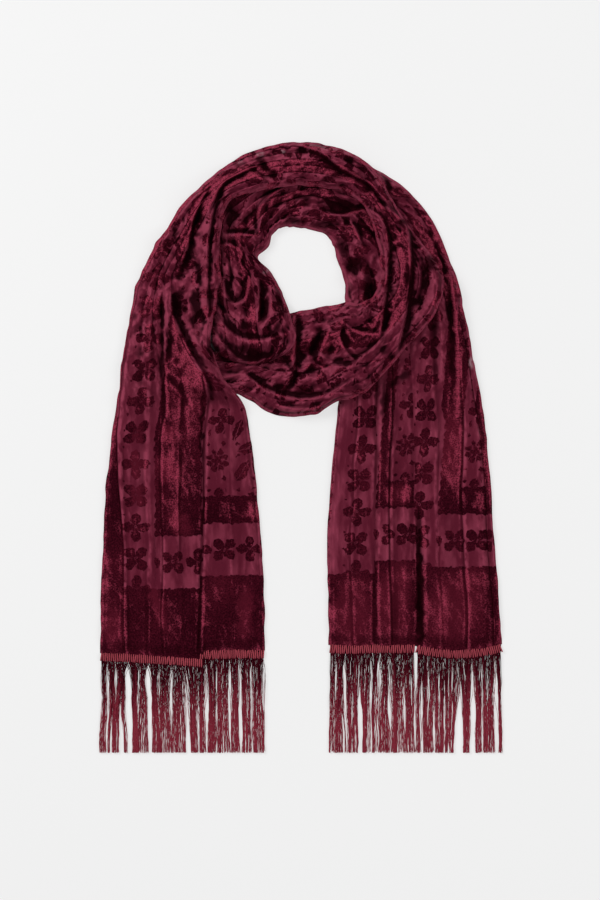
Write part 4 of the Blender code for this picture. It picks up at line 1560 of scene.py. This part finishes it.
@dataclass
class Stretch:
    """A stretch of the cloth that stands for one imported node."""

    node: str
    run: ClothRun
    start: float
    end: float
    spacing: float
    flat: tuple[float, float]
    held: Held
    rests_on: tuple[str, ...]
    turn: Turn = Turn.JOINED
    shell: float = 0.3
    seam_step: float = 6.0
    # Painted light and shade on slopes: the way pointing from the light, and the share of painted light on
    # the rolled edges
    away_from_light: tuple[float, float] = (0.70, -0.71)
    edge_slope_light: float = 0.42
    grid: dict = field(default_factory=dict)

    def lay(self, beds: HeightBed, below: tuple["Stretch", ...]) -> None:
        """Works out the stretch's surface on what lies below it.

        Args:
            beds: A lattice for the heights.
            below: The stretches that it is laid on.
        """
        bed = None
        if below:
            beds.heights[:] = 0.0
            for other in below:
                first, last = other.grid["top"]
                beds.add(*(other.grid[key][:, first:last] for key in "xyz"))
            bed = beds.draped()
        self.grid = self.run.surface(self.start, self.end, self.spacing, bed, beds, self.turn)

    def sunk(self, rows: int, columns: int) -> np.ndarray:
        """How far each point of the top stands over the mean of the cloth round it.

        Args:
            rows: How many rows on either side the mean takes in.
            columns: How many columns.

        Returns:
            The height over the mean, in millimetres.
        """
        z = self.grid["relief"]
        wide = np.pad(z, ((rows, rows), (columns, columns)), mode="edge")
        mean = sum(wide[k:k + z.shape[0]] for k in range(2 * rows + 1)) / (2 * rows + 1)
        mean = sum(mean[:, k:k + z.shape[1]] for k in range(2 * columns + 1)) / (2 * columns + 1)
        return z - mean

    def mottle(self, scale: float, layer: int) -> np.ndarray:
        """Smooth random numbers over the plan, about 0, in one of the stretch's layers of chance."""
        return lattice_noise(self.grid["x"] / scale, self.grid["y"] / scale, self.run.seed + layer)

    def shading(self, mesh: bpy.types.Mesh) -> dict[str, np.ndarray]:
        """The mesh's attributes that its finish reads.

        Args:
            mesh: The stretch's mesh.

        Returns:
            The painted light and shade of each slope as it faces the light or turns from it, from -1 to 1,
            the painted highlight where each point stands out sharply, the painted highlights along the
            folds' edges, how little the cloth is gathered, the painted shade where each point is sunk
            between folds and in the pockets under them, how sheer the ground is and the painted sheen where
            the pile is crushed.
        """
        shape = self.grid["z"].shape
        first, last = self.grid["top"]
        top, sides = slice(first, last), np.r_[0:first, last:last + first]
        x, y, gathered = (self.grid[key] for key in ("x", "y", "gathered"))
        normals = np.zeros(len(mesh.vertices) * 3)
        mesh.vertex_normals.foreach_get("vector", normals)
        columns = np.arange(last - first)
        inner = fade_in(np.minimum(columns, columns[::-1]), 9.0)[None, :]
        painted_slope_shading, crest, painted_hollow_shade, painted_rim_highlight = (np.zeros(shape) for _ in range(4))
        # Painted light and shade: slopes facing the light come out lighter, slopes turned from it darker,
        # less so near the edges, and the rolled edges get a set share of painted light
        painted_slope_shading[:, top] = -(normals.reshape(*shape, 3)[:, top, :2] @ np.array(self.away_from_light))
        painted_slope_shading[:, top] *= 0.35 + 0.65 * inner
        painted_slope_shading[:, sides] = self.edge_slope_light
        # Painted highlight where a point stands above the cloth round it
        crest[:, top] = np.clip(self.sunk(1, 2) / 0.30 - 0.10, 0, 1)
        # Painted shade where a point is sunk between folds, and in the folds' shadows
        sunk = -self.sunk(3, 6) / 1.8 - self.sunk(8, 17) / 5.4
        sunk = np.clip(sunk - 0.16, 0, 1) * (0.42 + 0.58 * gathered)
        painted_hollow_shade[:, top] = np.maximum(sunk, 0.92 * self.grid["shadow"])
        # Painted highlights along both edges of the top and on the rolled edges
        edge_highlight = sum(np.exp(-(((across - 1.0) / 1.6) ** 2)) for across in (columns, columns[::-1]))
        edge_highlight_weight = 0.25 + 0.45 * gathered
        painted_rim_highlight[:, top] = np.maximum(self.grid["painted_rim_highlight"], edge_highlight_weight * edge_highlight[None, :])
        painted_rim_highlight[:, sides] = edge_highlight_weight
        ragged = x + 2.6 * self.mottle(6.0, 31), y + 2.6 * self.mottle(6.0, 32)
        return {
            "painted_slope_shading": painted_slope_shading,
            "crest": crest,
            "painted_rim_highlight": painted_rim_highlight * np.clip(0.62 + 0.9 * self.mottle(5.0, 33), 0, 1),
            "calm": np.broadcast_to(1 - gathered, shape).copy(),
            # Painted shade in the pockets under folds
            "painted_hollow_shade": np.maximum(painted_hollow_shade, 0.86 * covered_by(PAINTED_SHADE_POCKETS, *ragged)),
            "sheer": 0.7 * np.clip(0.6 + 0.8 * self.mottle(3.1, 30), 0, 1) * covered_by(SHEER_SPOTS, x, y),
            # Painted sheen where the pile is crushed
            "shine": covered_by(SHINES, *ragged),
        }

    def build(self) -> bpy.types.Object:
        """Makes the stretch's mesh.

        Returns:
            The object, a tube of cloth open only where the next stretch joins it.
        """
        x, y, z = (self.grid[key] for key in "xyz")
        rows, ring = x.shape
        points = np.stack([x, y, z], axis=-1).reshape(-1, 3) * MM
        i, j = np.meshgrid(np.arange(rows - 1), np.arange(ring), indexing="ij")
        after = (j + 1) % ring
        quads = np.stack([i * ring + j, i * ring + after, (i + 1) * ring + after, (i + 1) * ring + j], -1)
        quads = quads.reshape(-1, 4)
        wide = [np.hstack([self.grid[key], self.grid[key][:, :1]]) for key in "uv"]
        seam = sum(np.abs(np.diff(lengths, axis=1)) for lengths in wide) > self.seam_step
        seam = seam[:-1] | seam[1:]
        corner = []
        for lengths in wide:
            near, far = lengths[:, :-1], lengths[:, 1:]
            far_now = np.where(seam, near[:-1], far[:-1])
            far_next = np.where(seam, near[1:], far[1:])
            corner.append(np.stack([near[:-1], far_now, far_next, near[1:]], -1).reshape(-1, 4))
        corner = np.stack(corner, -1) * MM
        mesh = bpy.data.meshes.new(self.node)
        mesh.vertices.add(len(points))
        mesh.vertices.foreach_set("co", points.ravel())
        mesh.loops.add(quads.size)
        mesh.loops.foreach_set("vertex_index", quads.ravel().astype(np.int32))
        mesh.polygons.add(len(quads))
        mesh.polygons.foreach_set("loop_start", np.arange(0, quads.size, 4, dtype=np.int32))
        mesh.update(calc_edges=True)
        mesh.validate()
        mapping = mesh.uv_layers.new(name=CLOTH_MAP)
        mapping.data.foreach_set("uv", corner.astype(np.float32).ravel())
        for name, values in self.shading(mesh).items():
            stored = mesh.attributes.new(name, "FLOAT", "POINT")
            stored.data.foreach_set("value", values.astype(np.float32).ravel())
        mesh.shade_smooth()
        ends = np.zeros(len(mesh.edges) * 2, np.int32)
        mesh.edges.foreach_get("vertices", ends)
        row_of = ends.reshape(-1, 2) // ring
        rim_edge = (row_of[:, 0] == row_of[:, 1]) & ((row_of[:, 0] == 0) | (row_of[:, 0] == rows - 1))
        sharp = mesh.attributes.new("sharp_edge", "BOOLEAN", "EDGE")
        sharp.data.foreach_set("value", rim_edge)
        return linked(self.node + "_cloth", mesh)

    def dress(self, made: bpy.types.Object, finish: bpy.types.Material) -> bpy.types.Object:
        """Gives the stretch its cloth's thickness and finish.

        Args:
            made: The stretch's object.
            finish: The velvet.

        Returns:
            The same object.
        """
        made.data.materials.append(finish)
        shell = made.modifiers.new("cloth_thickness", "SOLIDIFY")
        shell.thickness = self.shell * MM
        shell.offset = -1.0
        shell.use_rim = True
        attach(made, "root")
        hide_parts(self.node)
        return made


# Fringe and braid


class GeometryKit(TreeKit):
    """Builds one Geometry Nodes tree, with named inputs."""

    def __init__(self, name: str, sizes: dict[str, float], seed: int) -> None:
        """Starts a tree that takes a mesh and gives one back.

        Args:
            name: The tree's name.
            sizes: Its number inputs and their values, in metres.
            seed: The value of its Seed input.
        """
        super().__init__(bpy.data.node_groups.new(name, "GeometryNodeTree"))
        face = self.tree.interface
        face.new_socket("Geometry", in_out="INPUT", socket_type="NodeSocketGeometry")
        face.new_socket("Geometry", in_out="OUTPUT", socket_type="NodeSocketGeometry")
        self.values = {}
        for key, value in {**sizes, "Seed": seed}.items():
            kind = "NodeSocketInt" if isinstance(value, int) else "NodeSocketFloat"
            made = face.new_socket(key, in_out="INPUT", socket_type=kind)
            self.values[made.identifier] = value
        self.entry = self.tree.nodes.new("NodeGroupInput")
        self.exit = self.tree.nodes.new("NodeGroupOutput")
        self.source = self.entry.outputs[0]

    def size(self, name: str) -> Value:
        """A named input inside the tree."""
        return Value(self, self.entry.outputs[name])

    def add(self, kind: str, inputs: dict | None = None,
            settings: dict | None = None) -> bpy.types.NodeSocket:
        """Adds a geometry node.

        Args:
            kind: The node's type, without the GeometryNode that it starts with.
            inputs: The value or link of each socket.
            settings: Its properties.

        Returns:
            The node's first output.
        """
        return self.node("GeometryNode" + kind, settings, inputs).outputs[0]

    def stored(self, name: str) -> Value:
        """A number stored on the geometry."""
        return Value(self, self.add("InputNamedAttribute", {"Name": name}, {"data_type": "FLOAT"}))

    def chance(self, low: tuple, high: tuple) -> bpy.types.NodeSocket:
        """A random vector for each element, between two vectors."""
        inputs = {"Min": low, "Max": high, "Seed": self.size("Seed")}
        return self.node("FunctionNodeRandomValue", {"data_type": "FLOAT_VECTOR"}, inputs).outputs[0]

    def swept(self, path: bpy.types.NodeSocket, sides: int) -> bpy.types.NodeSocket:
        """A closed tube of the tree's Radius along a path."""
        ring = self.add("CurvePrimitiveCircle", {"Resolution": sides, "Radius": self.size("Radius")})
        return self.add("CurveToMesh", {"Curve": path, "Profile Curve": ring, "Fill Caps": True})

    def close(self, shape: bpy.types.NodeSocket, finish: bpy.types.Material) -> None:
        """Ends the tree in Realize Instances and Set Material.

        Args:
            shape: The geometry so far.
            finish: The material that it gets.
        """
        real = self.add("RealizeInstances", {"Geometry": shape})
        done = self.add("SetMaterial", {"Geometry": real, "Material": finish})
        self.tree.links.new(done, self.exit.inputs[0])

    def applied(self, carrier: bpy.types.Object, name: str) -> bpy.types.Object:
        """Runs the tree on a carrier and keeps the result as a plain mesh.

        Args:
            carrier: The object whose mesh the tree starts from. It is removed.
            name: The new object's name.

        Returns:
            The new object.
        """
        made = carrier.modifiers.new("grow", "NODES")
        made.node_group = self.tree
        for identifier, value in self.values.items():
            made[identifier] = value
        bpy.context.view_layer.update()
        evaluated = carrier.evaluated_get(bpy.context.evaluated_depsgraph_get())
        mesh = bpy.data.meshes.new_from_object(evaluated)
        carrier.modifiers.remove(made)
        bpy.data.objects.remove(carrier)
        mesh.name = name
        return linked(name, mesh)


@dataclass
class FringedBraid:
    """A length of ribbed braid with its silky fringe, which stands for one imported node."""

    line: BraidLine
    braid_finish: bpy.types.Material
    strand_finish: bpy.types.Material
    depth: float = 8.4
    rib_pitch: float = 2.1
    strands_per_mm: float = 7.0
    fringe_end: float = -321.0
    strand_radius: float = 0.24

    def rib_tree(self) -> GeometryKit:
        """The tree that sets a rounded rib across the braid at every pitch along it.

        Returns:
            The tree, ready to be applied to the braid's middle line.
        """
        sizes = {"Pitch": self.rib_pitch, "Half depth": self.depth / 2, "Radius": 0.70, "Arch": 0.8}
        kit = GeometryKit("braid_ribs", {key: size * MM for key, size in sizes.items()}, self.line.seed)
        path = kit.add("MeshToCurve", {"Mesh": kit.source})
        along = {"Curve": path, "Length": kit.size("Pitch")}
        spots = kit.node("GeometryNodeCurveToPoints", {"mode": "LENGTH"}, along)
        half = kit.size("Half depth")
        bar = kit.add("CurvePrimitiveLine", {"Start": kit.place(0.0, half), "End": kit.place(0.0, -half)})
        bar = kit.add("ResampleCurve", {"Curve": bar, "Count": 6}, {"mode": "COUNT"})
        bow = (Value(kit, kit.add("SplineParameter")) * math.pi).sine() * kit.size("Arch")
        bar = kit.add("SetPosition", {"Geometry": bar, "Offset": kit.place(0.0, 0.0, bow)})
        tangent = {"Vector": spots.outputs["Tangent"]}
        aim = kit.node("FunctionNodeAlignRotationToVector", {"axis": "X"}, tangent).outputs[0]
        ribs = kit.add("InstanceOnPoints", {
            "Points": spots.outputs["Points"], "Instance": kit.swept(bar, 6), "Rotation": aim,
            "Scale": kit.chance((0.85, 0.90, 0.8), (1.25, 1.12, 1.25)),
        })
        lean = kit.chance((0.0, 0.0, -0.16), (0.0, 0.0, 0.16))
        kit.close(kit.add("RotateInstances", {"Instances": ribs, "Rotation": lean}), self.braid_finish)
        return kit

    def strand_tree(self) -> GeometryKit:
        """The tree that hangs a wavy strand from each root.

        Returns:
            The tree, ready to be applied to a mesh of roots with their reach, gather and so on.
        """
        sizes = {"Radius": self.strand_radius, "Sway": 5.0, "Own sway": 4.4, "Lift": 1.0}
        kit = GeometryKit("fringe_strands", {key: size * MM for key, size in sizes.items()}, self.line.seed)
        bar = kit.add("CurvePrimitiveLine", {"Start": (0.0, 0.0, 0.0), "End": (0.0, -1.0, 0.0)})
        bar = kit.add("ResampleCurve", {"Curve": bar, "Count": 11}, {"mode": "COUNT"})
        bar = kit.add(
            "StoreNamedAttribute", {"Geometry": bar, "Name": "down", "Value": kit.add("SplineParameter")},
            {"data_type": "FLOAT", "domain": "POINT"},
        )
        scale = kit.place(1.0, kit.stored("reach"), 1.0)
        hung = {"Points": kit.source, "Instance": kit.swept(bar, 3), "Scale": scale}
        real = kit.add("RealizeInstances", {"Geometry": kit.add("InstanceOnPoints", hung)})
        down, tone, gather, pinch, lock = (
            kit.stored(name) for name in ("down", "tone", "gather", "pinch", "lock")
        )
        y = kit.parts(kit.add("InputPosition"))[1]
        seeded = lock + kit.size("Seed")
        shared = self.sway(kit, seeded, y * 24.0)
        own = self.sway(kit, tone * 40.0 + seeded, y * 52.0)
        rest = (1.0 - down) ** 1.5
        drawn = gather * (1.0 - rest) + pinch * (rest * (down * 7.0).least(1.0))
        wave = own[0] * kit.size("Own sway") + shared[0] * kit.size("Sway")
        aside = wave * (down * 3.5).least(1.0) + drawn
        moved = kit.place(aside, 0.0, own[1] * kit.size("Lift"))
        kit.close(kit.add("SetPosition", {"Geometry": real, "Offset": moved}), self.strand_finish)
        return kit

    def sway(self, kit: GeometryKit, across: Value, along: Value) -> list[Value]:
        """Soft random numbers about 0 that change along a strand.

        Args:
            kit: The strands' tree.
            across: A number that is the same along one strand or lock.
            along: A number that grows down the strand.

        Returns:
            The numbers.
        """
        inputs = {"Vector": kit.place(across, along), "Scale": 1.0, "Detail": 1.0}
        noise = {0: kit.node("ShaderNodeTexNoise", None, inputs).outputs["Color"], 1: (0.5, 0.5, 0.5)}
        return kit.parts(kit.node("ShaderNodeVectorMath", {"operation": "SUBTRACT"}, noise).outputs[0])

    def carrier(self, points: list[tuple[float, float, float]], edges: bool) -> bpy.types.Object:
        """An object of bare points, joined into a line or not.

        Args:
            points: The points, in millimetres.
            edges: Whether each is joined to the next.

        Returns:
            The object.
        """
        mesh = bpy.data.meshes.new("carrier")
        links = [(k, k + 1) for k in range(len(points) - 1)] if edges else []
        mesh.from_pydata([tuple(c * MM for c in p) for p in points], links, [])
        return linked("carrier", mesh)

    def tape(self, mesh: bpy.types.Mesh) -> None:
        """Adds the flat tape under the ribs to the braid's mesh.

        Args:
            mesh: The ribs' mesh, which gets the tape.
        """
        finish_place = mesh.polygons[0].material_index
        built = bmesh.new()
        built.from_mesh(mesh)
        steps = 40
        rings = []
        for k in range(steps + 1):
            x = self.line.start_x + (self.line.end_x - self.line.start_x) * k / steps
            top = float(self.line.top(np.array([x]))[0])
            half = self.depth / 2 - 0.5
            middle = top - self.depth / 2
            side = ((half, 0.1), (half, 1.3), (half * 0.6, 1.7))
            shape = side + tuple((-y, z) for y, z in side[::-1])
            rings.append([built.verts.new((x * MM, (middle + a) * MM, b * MM)) for a, b in shape])
        walls = [built.faces.new(rings[0]), built.faces.new(rings[-1][::-1])]
        for one, two in zip(rings, rings[1:]):
            for k in range(6):
                walls.append(built.faces.new((one[k], two[k], two[(k + 1) % 6], one[(k + 1) % 6])))
        for wall in walls:
            wall.smooth = True
            wall.material_index = finish_place
        built.normal_update()
        built.to_mesh(mesh)
        built.free()

    def build_braid(self) -> bpy.types.Object:
        """Makes the ribbed braid.

        Returns:
            The braid's object.
        """
        xs = np.linspace(self.line.start_x + 0.4, self.line.end_x - 0.4, 30)
        tops = self.line.top(xs) - self.depth / 2
        wave = 0.25 * lattice_noise(xs / 9.0, xs * 0, self.line.seed)
        points = [(x, y + w, 1.9) for x, y, w in zip(xs, tops, wave)]
        braid = self.rib_tree().applied(self.carrier(points, True), self.line.node + "_braid")
        self.tape(braid.data)
        braid.data.shade_smooth()
        return braid

    def roots(self) -> tuple[list, ...]:
        """Where the strands hang from, and how.

        Returns:
            The roots' points, and each strand's reach, gather and pinch in metres, tone and lock.
        """
        chance = random.Random(self.line.seed)
        low, high = self.line.start_x + 0.5, self.line.end_x - 0.5
        count = int((high - low) * self.strands_per_mm)
        locks = [low + 1.5]
        while locks[-1] < high - 1.5:
            locks.append(locks[-1] + chance.choice(self.line.locks) * chance.uniform(0.85, 1.15))
        slack = self.line.slack
        halves = [0.5 * (b - a) - chance.uniform(*slack) for a, b in zip(locks, locks[1:])] + [1.4]
        draws = [chance.choice((0.0, 0.12, 0.2, 0.45)) for _ in locks]
        points, reaches, gathers, pinches, tones, ids = [], [], [], [], [], []
        for k in range(count):
            x = low + (high - low) * (k + chance.random()) / count
            stray = chance.gauss(0, 5.0) if chance.random() < 0.24 else chance.gauss(0, 1.2)
            lock = min(range(len(locks)), key=lambda i: abs(locks[i] - x - stray))
            tip = locks[lock] + halves[lock] * chance.uniform(-1.0, 1.0)
            for start, end in self.line.gaps:
                if start < tip < end:
                    beside = chance.uniform(0, 1.4)
                    tip = start - beside if tip - start < end - tip else end + beside
            tip = min(max(tip, self.line.start_x - 0.6), self.line.end_x + 0.6)
            root_y = float(self.line.top(np.array([x]))[0]) - self.depth + 0.8
            reach = root_y - self.fringe_end - abs(chance.gauss(0.0, 1.4)) - 0.3
            if chance.random() < 0.05:
                reach -= chance.uniform(3.0, 16.0)
            pinches.append((draws[lock] * (locks[lock] - x) + chance.gauss(0, 0.5)) * MM)
            points.append((x, root_y, chance.uniform(1.1, 2.3)))
            reaches.append(reach * MM)
            gathers.append((tip - x) * MM)
            tones.append(chance.random())
            ids.append(lock * 3.7)
        return points, reaches, gathers, pinches, tones, ids

    def build_strands(self) -> bpy.types.Object:
        """Makes the fringe.

        Returns:
            The fringe's object.
        """
        points, *values = self.roots()
        carrier = self.carrier(points, False)
        for name, numbers in zip(("reach", "gather", "pinch", "tone", "lock"), values):
            stored = carrier.data.attributes.new(name, "FLOAT", "POINT")
            stored.data.foreach_set("value", numbers)
        strands = self.strand_tree().applied(carrier, self.line.node + "_strands")
        strands.data.shade_smooth()
        return strands

    def dress(self, made: bpy.types.Object) -> bpy.types.Object:
        """Parents a piece of the fringe to the root empty, and hides the imported part that it stands for.

        Args:
            made: The braid or the strands.

        Returns:
            The same object.
        """
        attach(made, "root")
        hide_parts(self.line.node)
        return made


@dataclass
class Studio:
    """The pale table, soft light and the camera, which looks straight down."""

    view_width: float = 0.630
    view_height: float = 0.945
    centre: tuple[float, float] = (-0.00105, -0.0026)
    distance: float = 4.0
    table_half: float = 6.0
    sky_strength: float = 0.42

    def table(self) -> bpy.types.Object:
        """Makes the table top.

        Returns:
            The table's object.
        """
        mesh = bpy.data.meshes.new("table_top")
        half = self.table_half
        corners = [(-half, -half, 0.0), (half, -half, 0.0), (half, half, 0.0), (-half, half, 0.0)]
        mesh.from_pydata(corners, [], [(0, 1, 2, 3)])
        mesh.materials.append(PaleTable().build())
        made = linked("table_top", mesh)
        return made

    def light(self, name: str, place: tuple[float, float, float], size: float, power: float) -> None:
        """Hangs a square soft light, aimed at the scarf.

        Args:
            name: The light's name.
            place: Where it hangs, in metres.
            size: Its side.
            power: Its power in watts.
        """
        lamp = bpy.data.lights.new(name, "AREA")
        lamp.shape = "SQUARE"
        lamp.size = size
        lamp.energy = power
        made = linked(name, lamp)
        made.location = place
        made.rotation_euler = made.location.normalized().to_track_quat("Z", "Y").to_euler()

    def camera(self) -> None:
        """Sets the camera over the middle of the photograph's frame."""
        lens = bpy.data.cameras.new("camera")
        lens.sensor_width = 36.0
        lens.lens = 36.0 * self.distance / self.view_height
        lens.clip_end = 100.0
        made = linked("camera", lens)
        made.location = (*self.centre, self.distance)
        bpy.context.scene.camera = made

    def build(self) -> None:
        """Sets up the table, the lights, the sky and the camera."""
        self.table()
        self.light("window_left", (-2.0, 1.5, 2.0), 1.2, 62.0)
        self.light("window_right", (2.2, -0.2, 2.0), 1.4, 26.0)
        world = bpy.data.worlds.new("soft_sky")
        world.use_nodes = True
        sky = world.node_tree.nodes["Background"].inputs
        sky["Color"].default_value = (1.0, 1.0, 1.0, 1.0)
        sky["Strength"].default_value = self.sky_strength
        scene = bpy.context.scene
        scene.world = world
        scene.view_settings.view_transform = "Standard"
        scene.view_settings.look = "None"
        self.camera()


@dataclass
class WoundScarf:
    """The scarf's cloth: two runs of cloth in six stretches. The fringed braids are built apart from it."""

    velvet: bpy.types.Material
    beds: HeightBed = field(default_factory=HeightBed)

    def stretches(self) -> tuple[Stretch, ...]:
        """Cuts the two runs into stretches.

        Returns:
            The stretches, in the order in which they are laid.
        """
        lower = ClothRun(
            RIGHT_TAIL + LOOP_UNDER + LOOP_LEFT, LOWER_ROLLS, LOWER_CREASES, RIGHT_BRAIDS, False, 101
        )
        upper = ClothRun(
            LOOP_FRONT + LOOP_OVER + LEFT_TAIL, UPPER_ROLLS, UPPER_CREASES, LEFT_BRAIDS, True, 211
        )
        table, folded, gathered = ("the table",), Held.FOLDED, Held.GATHERED
        hemmed, hidden = Turn.HEMMED, Turn.TURNED_UNDER
        on_tail, on_turn = ("right_tail", "loop_under"), ("loop_left", "loop_front")
        on_ring = ("right_tail", "loop_under", "loop_left")
        return (
            Stretch("right_tail", lower, 0, 7, 1.75, (0.37, 0.36), folded, table, hemmed),
            Stretch("loop_under", lower, 7, 16, 2.0, (0.15, 0.32), gathered, table),
            Stretch("loop_front", upper, 0, 10, 1.5, (0.21, 0.26), gathered, on_tail, hidden),
            Stretch("loop_left", lower, 16, 22, 1.5, (0.205, 0.13), gathered, ("loop_front",), hidden),
            Stretch("loop_over", upper, 10, 25, 1.55, (0.135, 0.37), gathered, on_ring),
            Stretch("left_tail", upper, 25, 34, 1.75, (0.325, 0.38), folded, on_turn, hemmed),
        )

    def build(self, fringes: dict[str, list[bpy.types.Object]]) -> None:
        """Lays the stretches on each other.

        Args:
            fringes: The braids and strands on each tail. It is not used.
        """
        laid: dict[str, Stretch] = {}
        for stretch in self.stretches():
            stretch.lay(self.beds, tuple(laid[name] for name in stretch.rests_on if name in laid))
            laid[stretch.node] = stretch
            piece = stretch.dress(stretch.build(), self.velvet)
            fringes.get(stretch.node, [])
            log.info("%s: %d faces", piece.name, len(piece.data.polygons))


def main() -> None:
    """Builds the studio, the fringes and the scarf in order, and reports each piece."""
    logging.basicConfig(level=logging.INFO, format="%(name)s %(message)s")
    Studio().build()
    braid_finish, strand_finish = RibbedBraid().build(), SilkStrand().build()
    fringes: dict[str, list[bpy.types.Object]] = {"left_tail": [], "right_tail": []}
    for tail, lines in (("left_tail", LEFT_BRAIDS), ("right_tail", RIGHT_BRAIDS)):
        for line in lines:
            fringe = FringedBraid(line, braid_finish, strand_finish)
            for piece in (fringe.build_braid(), fringe.build_strands()):
                fringes[tail].append(fringe.dress(piece))
                log.info("%s: %d faces", piece.name, len(piece.data.polygons))
    WoundScarf(DevoreVelvet().build()).build(fringes)


if __name__ == "__main__":
    main()
